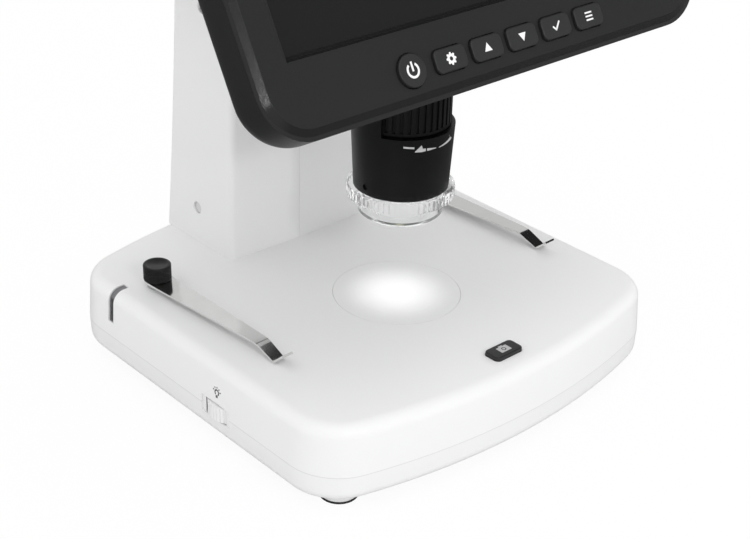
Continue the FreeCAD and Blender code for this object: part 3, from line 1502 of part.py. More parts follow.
def make_bezel():
    """Front of the display housing: stepped rim, bevelled window and key openings."""
    bezel = body("display_bezel")
    lean_back(bezel)
    pad(bezel, sketch_on(bezel, "XY_Plane", "-bezel_depth", display_outline("0")), "bezel_depth - rim_depth")
    pad(bezel, sketch_on(bezel, "XY_Plane", "-rim_depth", display_outline("rim_ledge")),
        "rim_depth", taper="-atan(rim_slope / rim_depth)")
    pocket(bezel, sketch_on(bezel, "XY_Plane", "-bezel_depth", display_outline("bezel_wall")),
           "bezel_depth - bezel_face", backward=True)
    opening = rectangle("-window_half_width", "window_low", "window_half_width", "window_high")
    pocket(bezel, sketch_on(bezel, "XY_Plane", "0", opening), "bezel_face",
           taper="-atan(window_bevel / bezel_face)")
    for name, u in key_places():
        pocket(bezel, sketch_on(bezel, "XY_Plane", "0", key_shape(name, u, "key_gap")), "bezel_face")
    return bezel


def make_rear_cover():
    """Rear of the display housing, rounded towards its back."""
    cover = body("display_rear_cover")
    lean_back(cover)
    back = "-bezel_depth - cover_depth"
    pad(cover, sketch_on(cover, "XY_Plane", "-bezel_depth", display_outline("0")), "cover_depth", backward=True)
    back_level = value(back)
    round_edges(cover, "cover_round", lambda edge: lies_at(edge, "Z", back_level))
    pocket(cover, sketch_on(cover, "XY_Plane", "-bezel_depth", display_outline("bezel_wall")), "cover_step")
    pocket(cover, sketch_on(cover, "XY_Plane", "-bezel_depth", display_outline("cover_inset")),
           "cover_depth - cover_wall")
    for u, v in COVER_SCREWS:
        pad(cover, sketch_on(cover, "XY_Plane", "-bezel_depth - cover_depth + cover_wall / 2", circle(u, v, "3.2")),
            "cover_depth - cover_wall / 2 - 0.2")
        pocket(cover, sketch_on(cover, "XY_Plane", f"{back} - 1", circle(u, v, "screw_radius + fit_gap")),
               "cover_depth + 2", backward=True)
        pocket(cover, sketch_on(cover, "XY_Plane", f"{back} - 1", circle(u, v, "screw_head_radius + fit_gap")),
               "screw_head_height + 2", backward=True)
    return cover


COVER_SCREWS = [
    ("-cover_screw_u", "cover_screw_inset"),
    ("cover_screw_u", "cover_screw_inset"),
    ("-cover_screw_u", "display_height - cover_screw_inset"),
    ("cover_screw_u", "display_height - cover_screw_inset"),
]


def slab(label, u_left, v_low, w_low, u_right, v_high, w_high):
    """Make a flat rectangular piece inside the display housing."""
    piece = body(label)
    lean_back(piece)
    pad(piece, sketch_on(piece, "XY_Plane", w_low, rectangle(u_left, v_low, u_right, v_high)),
        f"({w_high}) - ({w_low})")
    return piece


def make_display_inside():
    """Panel, driver board, key board and screws of the display."""
    margin = "panel_margin"
    slab("display_panel", f"-window_half_width - {margin}", f"window_low - {margin} + 0.4",
         "-bezel_face - panel_thickness", f"window_half_width + {margin}", f"window_high + {margin}",
         "-bezel_face")
    board_front = "-bezel_face - panel_thickness - board_gap"
    board = slab("display_board", "-board_half_width", "board_low", f"{board_front} - board_thickness",
         "board_half_width", "board_high", board_front)
    key_board_front = "-key_stem - button_travel - 0.1"
    slab("keypad_board", "-keypad_half_width", "keypad_low", f"{key_board_front} - board_thickness",
         "keypad_half_width", "keypad_high", key_board_front)
    rails = [rectangle("-board_half_width", "board_low", "-board_half_width + 4", "board_high"),
             rectangle("board_half_width - 4", "board_low", "board_half_width", "board_high")]
    pad(board, sketch_on(board, "XY_Plane", f"{board_front} - 0.1", *rails), "board_gap + 0.1")


def make_keys():
    """Six key caps in their openings."""
    for name, u in key_places():
        key = body(name)
        lean_back(key)
        pad(key, sketch_on(key, "XY_Plane", "-key_stem", key_shape(name, u, "0")), "key_stem + key_rise")
        front_level = value("key_rise")
        round_edges(key, "key_edge", lambda edge: lies_at(edge, "Z", front_level))
        flange_top = "-bezel_face - button_flange_gap"
        pad(key, sketch_on(key, "XY_Plane", flange_top, key_shape(name, u, "0.8")), "0.9", backward=True)


def make_hinge():
    """Tilt hinge between head and display: two brackets and a pin."""
    pin_y, pin_z = value("hinge_y"), value("hinge_z")
    plate_z = value("head_top_z")
    thick = value("hinge_plate")
    knuckle = value("hinge_knuckle_radius")
    inner = value("head_ear_inner")
    ear = value("ear_thickness")
    gap = value("ear_gap")
    pin_radius = value("hinge_pin_radius")
    run = value("running_gap")

    def ears(centre, foot_a, foot_b, starts):
        """Make ears whose feet lie on a line and whose ends are round about the pin."""
        shapes = []
        direction = (foot_b - foot_a).normalize()
        normal = Vector(0, -direction.z, direction.y)
        if normal.dot(centre - foot_a) < 0:
            normal = normal * -1
        for start in starts:
            corners = [foot_a, foot_b, centre + direction * knuckle, centre - direction * knuckle]
            web = Part.Face(Part.makePolygon(corners + corners[:1])).extrude(ACROSS * ear)
            web.translate(ACROSS * start)
            end = Part.makeCylinder(knuckle, ear, centre + ACROSS * start, ACROSS)
            shapes.append(web.fuse(end))
        return shapes

    centre = Vector(0, pin_y, pin_z)
    head_starts = [inner, -inner - ear]
    foot_a = Vector(0, value("head_top_front_y + head_round + 1"), plate_z + thick / 2)
    foot_b = Vector(0, value("head_top_front_y + head_round + 18"), plate_z + thick / 2)
    plate = Part.makeBox(2 * (inner + ear), foot_b.y - foot_a.y, thick, Vector(-inner - ear, foot_a.y, plate_z))
    base_ears = ears(centre, foot_a, foot_b, head_starts)
    bore = Part.makeCylinder(pin_radius, 80, Vector(-40, pin_y, pin_z), ACROSS)
    head_bracket = doc.addObject("Part::Feature", "HeadBracket")
    head_bracket.Shape = plate.fuse(base_ears).cut(bore).removeSplitter()
    node(head_bracket, "head_hinge_bracket")

    lean = math.radians(value("display_lean"))
    up_face = Vector(0, math.sin(lean), math.cos(lean))
    out_face = Vector(0, -math.cos(lean), math.sin(lean))
    origin = Vector(0, value("display_y"), value("display_z"))
    back = value("-bezel_depth - cover_depth")

    def on_display(v, w):
        return origin + up_face * v + out_face * w

    low, high = value("display_plate_low"), value("display_plate_high")
    half = value("display_plate_half_width")
    plate_corners = [on_display(low, back), on_display(high, back), on_display(high, back - thick),
                     on_display(low, back - thick)]
    face = Part.Face(Part.makePolygon(plate_corners + plate_corners[:1]))
    plate = face.extrude(ACROSS * 2 * half)
    plate.translate(ACROSS * -half)
    outer_start = inner + ear + gap
    feet = (on_display(low + 1, back - thick / 2), on_display(high - 1, back - thick / 2))
    display_ears = ears(centre, *feet, [outer_start, -outer_start - ear])
    running_bore = Part.makeCylinder(pin_radius + run, 80, Vector(-40, pin_y, pin_z), ACROSS)
    bracket = doc.addObject("Part::Feature", "DisplayBracket")
    bracket.Shape = plate.fuse(display_ears).cut(running_bore).removeSplitter()
    node(bracket, "display_hinge_bracket")
    end = "head_ear_inner + 2 * ear_thickness + ear_gap + 1"
    node(cylinder("hinge_pin_radius", f"2 * ({end})", f"-({end})", "hinge_y", "hinge_z", "x"), "hinge_pin")


def make_cover_screws():
    """Screws that hold the rear cover of the display on."""
    shapes = []
    lean = 90 - value("display_lean")
    for u, v in COVER_SCREWS:
        radius, head_radius = value("screw_radius"), value("screw_head_radius")
        back = value("-bezel_depth - cover_depth")
        head = Part.makeCylinder(head_radius, value("screw_head_height"), Vector(value(u), value(v), back + 0.2))
        shank = Part.makeCylinder(radius, value("cover_depth - 0.4"), Vector(value(u), value(v), back + 0.2))
        shapes.append(head.fuse(shank))
    screws = doc.addObject("Part::Feature", "CoverScrews")
    screws.Shape = Part.makeCompound(shapes)
    screws.Placement = FreeCAD.Placement(Vector(0, value("display_y"), value("display_z")), Rotation(ACROSS, lean))
    node(screws, "cover_screws")


def make_all():
    """Build every sub-part of the microscope."""
    make_edge_strip(make_base_upper_shell())
    make_base_lower_shell()
    make_feet()
    make_stage_light()
    make_shutter()
    make_brightness_wheel()
    make_base_electrics()
    make_base_screws()
    make_clips()
    make_column()
    make_column_screws()
    make_focus_drive()
    make_head()
    make_tube_housing()
    make_focus_ring()
    make_lens()
    make_camera()
    make_nose()
    make_bezel()
    make_rear_cover()
    make_display_inside()
    make_keys()
    make_hinge()
    make_cover_screws()


def export_all():
    """Check every object and sub-part, then write one STEP file for each sub-part."""
    doc.recompute()
    for item in doc.Objects:
        if "Invalid" in item.State or "Error" in item.State:
            raise RuntimeError(f"{item.Name} ({item.Label}) failed: {item.State}")
    os.makedirs("parts", exist_ok=True)
    for item in nodes:
        shape = item.Shape
        if shape.isNull() or not shape.isValid() or not shape.Solids:
            raise RuntimeError(f"{item.Label} has no valid solid")
        shape.exportStep(f"parts/{item.Label}.step")
        print(f"{item.Label}: {len(shape.Solids)} solids, {shape.Volume:.0f} mm3")


make_all()
export_all()
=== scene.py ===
"""Looks of a desk-top digital microscope: finishes, printed signs and fine surfaces round its solid model."""

import json
import logging
import math
from collections.abc import Callable
from dataclasses import dataclass
from enum import Enum

import bmesh
import bpy
import numpy as np
from mathutils import Matrix, Vector

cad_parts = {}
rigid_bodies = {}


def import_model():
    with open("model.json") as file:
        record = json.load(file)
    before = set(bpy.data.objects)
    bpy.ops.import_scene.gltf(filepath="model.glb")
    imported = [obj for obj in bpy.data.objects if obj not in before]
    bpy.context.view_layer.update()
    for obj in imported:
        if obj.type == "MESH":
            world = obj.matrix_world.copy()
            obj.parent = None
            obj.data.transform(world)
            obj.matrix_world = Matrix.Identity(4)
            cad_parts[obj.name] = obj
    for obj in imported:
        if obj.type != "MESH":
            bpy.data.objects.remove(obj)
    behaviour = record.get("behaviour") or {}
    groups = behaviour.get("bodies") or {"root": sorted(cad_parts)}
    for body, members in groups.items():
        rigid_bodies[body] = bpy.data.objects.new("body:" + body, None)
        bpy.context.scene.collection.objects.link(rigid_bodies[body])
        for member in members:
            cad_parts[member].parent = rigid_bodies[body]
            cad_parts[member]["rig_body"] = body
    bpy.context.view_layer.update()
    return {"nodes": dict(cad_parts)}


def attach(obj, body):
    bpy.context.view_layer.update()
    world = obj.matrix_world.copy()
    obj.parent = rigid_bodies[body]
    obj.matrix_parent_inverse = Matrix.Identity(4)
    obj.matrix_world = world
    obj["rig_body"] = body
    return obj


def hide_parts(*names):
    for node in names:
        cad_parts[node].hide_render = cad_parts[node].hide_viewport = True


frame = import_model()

LOG = logging.getLogger("microscope")
MM = 0.001
SOLID_GAP = 0.000001
POINT_GAP = 0.0000002
TINY = 0.000001
Pair = tuple[float, float]
Place = tuple[float, float, float]
Colour = tuple[float, float, float]
Ribbon = tuple[np.ndarray, np.ndarray, bool]
Reshape = Callable[[np.ndarray], np.ndarray]
Socket = bpy.types.NodeSocket


class Wire:
    """A shader value that adds its Math nodes when it is used in an expression."""

    def __init__(self, graph: "Graph", socket: Socket) -> None:
        """Wrap one output socket of a graph."""
        self.graph = graph
        self.socket = socket

    def math(self, operation: str, first: object, second: object = 0.0) -> "Wire":
        """Add one Math node.

        Args:
            operation: the Math node's operation.
            first: a number or a wire.
            second: a number or a wire.

        Returns:
            The node's result.
        """
        node = self.graph.add("ShaderNodeMath", {"operation": operation}, {0: first, 1: second})
        return Wire(self.graph, node.outputs[0])

    def __add__(self, other: object) -> "Wire":
        """Add."""
        return self.math("ADD", self, other)

    __radd__ = __add__

    def __sub__(self, other: object) -> "Wire":
        """Subtract."""
        return self.math("SUBTRACT", self, other)

    def __rsub__(self, other: object) -> "Wire":
        """Subtract from a number."""
        return self.math("SUBTRACT", other, self)

    def __mul__(self, other: object) -> "Wire":
        """Multiply."""
        return self.math("MULTIPLY", self, other)

    __rmul__ = __mul__

    def root(self) -> "Wire":
        """Square root."""
        return self.math("SQRT", self)

    def magnitude(self) -> "Wire":
        """Distance from zero."""
        return self.math("ABSOLUTE", self)

    def smooth_step(self, low: float, high: float) -> "Wire":
        """Rise smoothly from 0 to 1 between two levels."""
        inputs = {"Value": self, "From Min": low, "From Max": high}
        node = self.graph.add("ShaderNodeMapRange", {"interpolation_type": "SMOOTHSTEP"}, inputs)
        return Wire(self.graph, node.outputs[0])


class Graph:
    """The node tree of one material or of the world."""

    def __init__(self, name: str, is_world: bool = False) -> None:
        """Start the empty tree of a new material, or of a new world."""
        self.owner = (bpy.data.worlds if is_world else bpy.data.materials).new(name)
        self.owner.use_nodes = True
        self.tree = self.owner.node_tree
        self.tree.nodes.clear()
        self.output = self.tree.nodes.new("ShaderNodeOutputWorld" if is_world else "ShaderNodeOutputMaterial")

    def add(self, kind: str, settings: dict[str, object], inputs: dict[object, object]) -> bpy.types.Node:
        """Add one node.

        Args:
            kind: the node's type.
            settings: the node's own settings, set before its sockets.
            inputs: socket names or numbers, each with a value, a wire or a socket.

        Returns:
            The new node.
        """
        node = self.tree.nodes.new(kind)
        for key, setting in settings.items():
            setattr(node, key, setting)
        for key, given in inputs.items():
            socket = node.inputs[key]
            if isinstance(given, Wire):
                given = given.socket
            if isinstance(given, Socket):
                self.tree.links.new(given, socket)
            else:
                socket.default_value = given
        return node

    def show(self, shader: Socket) -> None:
        """Link a shader to the output."""
        self.tree.links.new(shader, self.output.inputs[0])

    def place(self) -> Socket:
        """Object coordinates."""
        return self.add("ShaderNodeTexCoord", {}, {}).outputs["Object"]

    def split(self, vector: Socket) -> tuple[Wire, Wire, Wire]:
        """Split a vector in its three parts."""
        node = self.add("ShaderNodeSeparateXYZ", {}, {0: vector})
        return tuple(Wire(self, output) for output in node.outputs)

    def noise(self, size: float, detail: float = 3.0, stretch: Place = (1.0, 1.0, 1.0)) -> Wire:
        """Noise whose spots are about a size across, in metres, stretched along the axes."""
        scale = tuple(part / size for part in stretch)
        mapped = self.add("ShaderNodeMapping", {}, {"Vector": self.place(), "Scale": scale})
        inputs = {"Vector": mapped.outputs[0], "Scale": 1.0, "Detail": detail}
        return Wire(self, self.add("ShaderNodeTexNoise", {}, inputs).outputs[0])

    def mix(self, factor: Wire, low: Colour, high: Colour) -> Socket:
        """Mix two colours by a factor."""
        inputs = {0: factor, 6: (*low, 1.0), 7: (*high, 1.0)}
        return self.add("ShaderNodeMix", {"data_type": "RGBA"}, inputs).outputs[2]

    def bump(self, height: Wire, depth: float) -> Socket:
        """Turn a height from 0 to 1 into a bumped normal, its depth in metres."""
        return self.add("ShaderNodeBump", {}, {"Height": height, "Distance": depth}).outputs[0]

    def principled(self, **inputs: object) -> bpy.types.Material:
        """Show the main shader, with _ for spaces in its sockets' names, and give the finished material."""
        named = {key.replace("_", " "): given for key, given in inputs.items()}
        self.show(self.add("ShaderNodeBsdfPrincipled", {}, named).outputs[0])
        return self.owner

    def ray(self, kind: str) -> Wire:
        """Value that is 1 for one kind of ray and 0 for the others."""
        return Wire(self, self.add("ShaderNodeLightPath", {}, {}).outputs[f"Is {kind} Ray"])

    def glow(self, level: float, kind: str = "ShaderNodeEmission") -> Socket:
        """White light of one strength."""
        return self.add(kind, {}, {"Color": (1.0, 1.0, 1.0, 1.0), "Strength": level}).outputs[0]

    def blend(self, factor: Wire, low: Socket, high: Socket) -> Socket:
        """Mix two shaders by a factor."""
        return self.add("ShaderNodeMixShader", {}, {0: factor, 1: low, 2: high}).outputs[0]


def grey(level: float) -> Colour:
    """Neutral colour."""
    return (level, level, level)


def tint(colour: Colour, factor: float) -> Colour:
    """Scale a colour."""
    return tuple(min(1.0, part * factor) for part in colour)


@dataclass(frozen=True)
class MouldedPlastic:
    """Injection-moulded plastic: fine spark-eroded grain, slight flow shade and handling marks."""

    name: str
    colour: Colour
    roughness: float = 0.35
    grain: float = 0.00035
    grain_depth: float = 0.000012
    shade: float = 0.03
    coat: float = 0.0
    specular: float = 0.5
    flow_size: float = 0.045
    rub_size: float = 0.012
    rub: float = 0.12

    def tone(self, graph: Graph) -> Socket:
        """Colour, a little uneven where the plastic flowed."""
        flow = graph.noise(self.flow_size, 2.0)
        return graph.mix(flow, tint(self.colour, 1 - self.shade), tint(self.colour, 1 + self.shade))

    def gloss(self, graph: Graph) -> Wire:
        """Roughness, a little uneven where hands have rubbed."""
        return graph.noise(self.rub_size, 5.0) * self.rub + (self.roughness - self.rub / 2)

    def make(self) -> bpy.types.Material:
        """Build the material."""
        graph = Graph(self.name)
        grain = graph.noise(self.grain, 4.0)
        return graph.principled(
            Base_Color=self.tone(graph),
            Roughness=self.gloss(graph),
            Normal=graph.bump(grain, self.grain_depth),
            Coat_Weight=self.coat,
            Coat_Roughness=0.12,
            Specular_IOR_Level=self.specular,
        )


@dataclass(frozen=True)
class SeamedPlastic(MouldedPlastic):
    """Moulded plastic with the dark parting line of two shells at one height."""

    seam: float = 0.0135
    seam_half: float = 0.00016
    seam_tint: float = 0.8

    def tone(self, graph: Graph) -> Socket:
        """Colour that darkens close to the height of the seam."""
        _, _, height = graph.split(graph.place())
        off = (height - self.seam).magnitude()
        near = 1 - off.smooth_step(self.seam_half * 0.5, self.seam_half)
        return graph.mix(near, self.colour, tint(self.colour, self.seam_tint))


@dataclass(frozen=True)
class RimmedPlastic(MouldedPlastic):
    """Matt moulded plastic with a polished rim just under the plane of the display's face."""

    rim_roughness: float = 0.12
    face_y: float = -0.0648
    face_z: float = 0.1245
    lean: float = 30.0
    rim_start: Pair = (0.00004, 0.00008)
    rim_end: Pair = (0.00099, 0.00103)

    def gloss(self, graph: Graph) -> Wire:
        """Roughness that falls where the rim starts below the face and rises where it ends."""
        _, along, height = graph.split(graph.place())
        lean = math.radians(self.lean)
        depth = (along - self.face_y) * math.cos(lean) - (height - self.face_z) * math.sin(lean)
        rim = depth.smooth_step(*self.rim_start) * (1 - depth.smooth_step(*self.rim_end))
        matt = super().gloss(graph)
        return matt + (self.rim_roughness - matt) * rim


@dataclass(frozen=True)
class Metal:
    """Bare metal with fine lines along one axis; polished when the lines are shallow."""

    name: str
    colour: Colour
    roughness: float
    line_stretch: Place = (1.0, 1.0, 1.0)
    line_size: float = 0.0004
    line_depth: float = 0.000004
    smear_size: float = 0.008
    smear: float = 0.1

    def make(self) -> bpy.types.Material:
        """Build the material."""
        graph = Graph(self.name)
        lines = graph.noise(self.line_size, 3.0, self.line_stretch)
        smear = graph.noise(self.smear_size, 4.0)
        colour = graph.mix(smear, tint(self.colour, 0.93), tint(self.colour, 1.04))
        return graph.principled(
            Base_Color=colour,
            Metallic=1.0,
            Roughness=smear * self.smear + (self.roughness - self.smear / 2),
            Normal=graph.bump(lines, self.line_depth),
        )


@dataclass(frozen=True)
class ClearPlastic:
    """Clear moulded plastic with faint flow lines and a faint painted glow; above one height the painted glow
    is a little stronger and the surface duller.
    """

    name: str
    colour: Colour = (0.985, 0.99, 0.99)
    roughness: float = 0.06
    frosted: float = 0.06
    frost_height: float = 0.0675
    frost_blend: float = 0.0004
    bend: float = 1.16
    clear_painted_glow: float = 0.02
    frost_painted_glow: float = 0.04

    def make(self) -> bpy.types.Material:
        """Build the material."""
        graph = Graph(self.name)
        flow = graph.noise(0.004, 2.0)
        _, _, height = graph.split(graph.place())
        frost_and_painted_glow = height.smooth_step(self.frost_height - self.frost_blend, self.frost_height + self.frost_blend)
        return graph.principled(
            Base_Color=graph.mix(flow, tint(self.colour, 0.985), self.colour),
            Roughness=frost_and_painted_glow * (self.frosted - self.roughness) + self.roughness,
            Normal=graph.bump(flow, 0.00002),
            Transmission_Weight=0.93,
            IOR=self.bend,
            # painted glow: emission makes the clear plastic brighter though it is no lamp, more so above the
            # frost height
            Emission_Color=graph.mix(frost_and_painted_glow, grey(self.clear_painted_glow), grey(self.frost_painted_glow)),
            Emission_Strength=1.0,
        )


@dataclass(frozen=True)
class LitWindow:
    """Milky window that glows in the middle and fades towards its edge."""

    name: str
    centre: Pair
    bright_radius: float
    fade_radius: float
    shell: Colour
    strength: float = 0.26

    def make(self) -> bpy.types.Material:
        """Build the material: the glow depends on the distance from the optical axis."""
        graph = Graph(self.name)
        across, along, _ = graph.split(graph.place())
        off_x = across - self.centre[0]
        off_y = along - self.centre[1]
        distance = (off_x * off_x + off_y * off_y).root()
        glow = 1 - distance.smooth_step(self.bright_radius, self.fade_radius)
        speckle = graph.noise(0.0006, 2.0)
        return graph.principled(
            Base_Color=graph.mix(glow, self.shell, grey(0.97)),
            Roughness=speckle * 0.05 + 0.3,
            Normal=graph.bump(speckle, 0.000006),
            Emission_Color=graph.mix(glow, grey(0.0), grey(1.0)),
            Emission_Strength=self.strength,
        )


@dataclass(frozen=True)
class CircuitBoard:
    """Solder-masked board with faint copper tracks under the mask."""

    name: str
    mask: Colour = (0.02, 0.12, 0.05)
    track: Colour = (0.05, 0.22, 0.09)

    def make(self) -> bpy.types.Material:
        """Build the material."""
        graph = Graph(self.name)
        tracks = graph.noise(0.004, 1.0, (1.0, 6.0, 1.0)).smooth_step(0.5, 0.56)
        return graph.principled(
            Base_Color=graph.mix(tracks, self.mask, self.track),
            Roughness=0.35,
            Normal=graph.bump(tracks, 0.00003),
        )


@dataclass(frozen=True)
class Ink:
    """Printed sign, very slightly broken like pad printing."""

    name: str
    colour: Colour
    glow: float = 0.0

    def make(self) -> bpy.types.Material:
        """Build the material."""
        graph = Graph(self.name)
        wear = graph.noise(0.0005, 3.0)
        return graph.principled(
            Base_Color=graph.mix(wear, tint(self.colour, 0.9), self.colour),
            Roughness=0.5,
            # painted glow: a set glow makes the printed sign brighter than its lighting gives, though it is
            # no lamp
            Emission_Color=(*self.colour, 1.0),
            Emission_Strength=self.glow,
        )


SHELL_WHITE = (0.84, 0.84, 0.842)


class Finish(Enum):
    """Finishes of the microscope's pieces."""

    WHITE = MouldedPlastic("white_shell", SHELL_WHITE, 0.38, shade=0.008, specular=0.35)
    SEAMED = SeamedPlastic("white_seamed_shell", SHELL_WHITE, 0.38, specular=0.35)
    INNER_WHITE = MouldedPlastic("white_reflector", grey(0.8), 0.5)
    BLACK = RimmedPlastic("black_housing", (0.014, 0.014, 0.0145), 0.42, 0.00035, 0.00003, 0.06, specular=0.3)
    TUBE = MouldedPlastic("black_tube", (0.005, 0.005, 0.0052), 0.4, 0.00035, 0.00002, 0.06, specular=0.25)
    KEYS = MouldedPlastic("black_keys", (0.021, 0.021, 0.022), 0.36, 0.00025, shade=0.05, specular=0.35)
    KNOB = MouldedPlastic("black_knobs", grey(0.005), 0.3, shade=0.05, specular=0.3)
    SCREEN = MouldedPlastic("screen_glass", (0.008, 0.008, 0.0083), 0.16, 0.004, 0.0, 0.02, specular=0.2)
    RUBBER = MouldedPlastic("rubber_feet", grey(0.02), 0.75, 0.0006, 0.00005)
    ELECTRIC = MouldedPlastic("component_plastic", (0.03, 0.03, 0.032), 0.5)
    WRAP = MouldedPlastic("battery_wrap", (0.05, 0.12, 0.35), 0.25, coat=0.5)
    RACK = MouldedPlastic("rack_plastic", (0.05, 0.05, 0.055), 0.4)
    LAMP = MouldedPlastic("lamp_body", (0.8, 0.78, 0.5), 0.2, coat=0.5)
    MIRROR_STEEL = Metal("polished_steel", (0.8, 0.8, 0.79), 0.1, (1.0, 0.05, 1.0))
    PAINTED_STEEL = MouldedPlastic("painted_screw", grey(0.7), 0.4)
    STEEL = Metal("zinc_plated_steel", (0.55, 0.55, 0.57), 0.3)
    STRIP = Metal("strip_steel", (0.3, 0.3, 0.31), 0.28, (1.0, 1.0, 0.1))
    BRASS = Metal("turned_brass", (0.72, 0.55, 0.25), 0.25)
    CAST = Metal("machined_aluminium", (0.62, 0.63, 0.64), 0.35, (0.1, 1.0, 1.0), line_depth=0.00001)
    CLEAR = ClearPlastic("clear_plastic")
    LENS = ClearPlastic("lens_glass", (0.75, 0.85, 0.92), 0.02)
    BOARD = CircuitBoard("circuit_board")
    WINDOW = LitWindow("milky_window", (0.0, -0.0165), 0.004, 0.021, SHELL_WHITE)
    # the pale sign carries a painted glow of 0.1
    PALE_INK = Ink("pale_sign", grey(0.82), 0.1)
    MARK_INK = Ink("mark_sign", grey(0.52))
    GREY_INK = Ink("grey_sign", grey(0.5))
    DARK_INK = Ink("dark_sign", grey(0.012))


MADE: dict[Finish, bpy.types.Material] = {}


def material(finish: Finish) -> bpy.types.Material:
    """Give a finish's material, built once."""
    if finish not in MADE:
        MADE[finish] = finish.value.make()
    return MADE[finish]


def put(name: str, data: bpy.types.ID) -> bpy.types.Object:
    """Make an object of a mesh, a lamp or a camera at the origin."""
    thing = bpy.data.objects.new(name, data)
    bpy.context.scene.collection.objects.link(thing)
    return thing


def join_up(mesh: bpy.types.Mesh, gap: float, clean: bool) -> None:
    """Merge a mesh's doubles.

    Args:
        mesh: the mesh.
        gap: points closer than this, in metres, become one.
        clean: drop faces without area and point all faces outwards.
    """
    work = bmesh.new()
    work.from_mesh(mesh)
    bmesh.ops.remove_doubles(work, verts=work.verts, dist=gap)
    if clean:
        bmesh.ops.dissolve_degenerate(work, edges=work.edges, dist=gap / 2)
        bmesh.ops.recalc_face_normals(work, faces=work.faces)
    work.to_mesh(mesh)
    work.free()


def shade(mesh: bpy.types.Mesh, angle: float) -> None:
    """Shade a mesh smooth, apart from edges bent by more than an angle in degrees."""
    if "custom_normal" in mesh.attributes:
        mesh.attributes.remove(mesh.attributes["custom_normal"])
    mesh.shade_smooth()
    mesh.set_sharp_from_angle(angle=math.radians(angle))


def new_piece(name: str, points: np.ndarray, faces: np.ndarray, finish: Finish,
              smooth: float = 35.0) -> bpy.types.Object:
    """Make a piece from points and faces.

    Args:
        name: the piece's name.
        points: an array of places in millimetres, three to a row.
        faces: an array of point numbers, four to a row.
        finish: the piece's finish.
        smooth: edges bent by less than this many degrees are shaded smooth.

    Returns:
        The new object, at the origin.
    """
    mesh = bpy.data.meshes.new(name)
    mesh.from_pydata((points * MM).tolist(), [], faces.tolist())
    join_up(mesh, POINT_GAP, True)
    shade(mesh, smooth)
    mesh.materials.append(material(finish))
    return put(name, mesh)


def grid_faces(rows: int, columns: int, wrap_rows: bool, wrap_columns: bool) -> np.ndarray:
    """Number the four-sided faces of a grid whose ends may join."""
    row = np.arange(rows if wrap_rows else rows - 1)
    column = np.arange(columns if wrap_columns else columns - 1)
    i, j = np.meshgrid(row, column, indexing="ij")
    after_i, after_j = (i + 1) % rows, (j + 1) % columns
    corners = [i * columns + j, after_i * columns + j, after_i * columns + after_j, i * columns + after_j]
    return np.stack(corners, -1).reshape(-1, 4)


def turned(profile: np.ndarray, centre: Pair, steps: int,
           radius_change: np.ndarray) -> tuple[np.ndarray, np.ndarray]:
    """Turn a closed profile of radius and height about a vertical axis.

    Args:
        profile: rows of radius and height, in millimetres.
        centre: the axis's x and y, in millimetres.
        steps: number of steps round the axis.
        radius_change: what is added to the radius for each step and profile point.

    Returns:
        Points and faces. A point is centre + (r cos a, r sin a, z).
    """
    angle = np.linspace(0, 2 * np.pi, steps, endpoint=False)[:, None]
    radius = profile[None, :, 0] + radius_change
    height = np.broadcast_to(profile[None, :, 1], radius.shape)
    east, north = centre[0] + radius * np.cos(angle), centre[1] + radius * np.sin(angle)
    return np.stack([east, north, height], -1).reshape(-1, 3), grid_faces(steps, len(profile), True, True)


@dataclass(frozen=True)
class Sheet:
    """A flat place for signs: an origin and two directions in it, in millimetres."""

    origin: Place
    right: Place
    up: Place

    def lift(self, flat: np.ndarray, height: float) -> np.ndarray:
        """Carry flat points to a height over the sheet: origin + u right + v up + h normal."""
        right, up = np.array(self.right), np.array(self.up)
        normal = np.cross(right, up)
        return np.array(self.origin) + flat[:, :1] * right + flat[:, 1:] * up + height * normal


def level_sheet(x: float, y: float, z: float) -> Sheet:
    """Level place for signs."""
    return Sheet((x, y, z), (1.0, 0.0, 0.0), (0.0, 1.0, 0.0))


@dataclass(frozen=True)
class Drum:
    """A round place for signs on a cone about a vertical axis."""

    centre: Pair
    radius_low: float
    low: float
    radius_high: float
    high: float

    def lift(self, flat: np.ndarray, height: float) -> np.ndarray:
        """Carry (angle in degrees, height) points to the cone's surface, and out by a height."""
        angle = np.radians(flat[:, 0])
        share = (flat[:, 1] - self.low) / (self.high - self.low)
        radius = self.radius_low + share * (self.radius_high - self.radius_low) + height
        x = self.centre[0] + radius * np.cos(angle)
        y = self.centre[1] + radius * np.sin(angle)
        return np.stack([x, y, flat[:, 1]], -1)


def rounded_line(corners: tuple[Pair, ...], radii: tuple[float, ...], steps: int = 14) -> np.ndarray:
    """Round the inner corners of a flat line.

    Args:
        corners: the line's corners.
        radii: one radius for each inner corner.
        steps: number of points on each arc.

    Returns:
        The rounded line's points, with a finely stepped start.
    """
    spots = np.array(corners)
    shares = 1 - np.cos(np.linspace(0, 1.2, 16))
    runs = [spots[0] + (spots[1] - spots[0]) * share for share in shares]
    for before, corner, after, radius in zip(spots, spots[1:], spots[2:], radii):
        back, ahead = (before - corner), (after - corner)
        back, ahead = back / np.linalg.norm(back), ahead / np.linalg.norm(ahead)
        half = math.acos(np.clip(back @ ahead, -1, 1)) / 2
        centre = corner + (back + ahead) / np.linalg.norm(back + ahead) * radius / math.sin(half)
        share = np.linspace(-1, 1, steps)[:, None] * (math.pi / 2 - half)
        inward = (corner - centre) / np.linalg.norm(corner - centre)
        side = (ahead - back) / np.linalg.norm(ahead - back)
        runs.extend(centre + radius * (inward * np.cos(share) + side * np.sin(share)))
    return np.array([*runs, spots[-1]])


def bar(start: Pair, end: Pair, width: float, parts: int = 2) -> Ribbon:
    """Two sides of a straight bar between two points."""
    a, b = np.array(start, float), np.array(end, float)
    share = np.linspace(0, 1, parts)[:, None]
    middle = a + (b - a) * share
    along = (b - a) / np.linalg.norm(b - a)
    side = np.array([-along[1], along[0]]) * width / 2
    return middle + side, middle - side, False


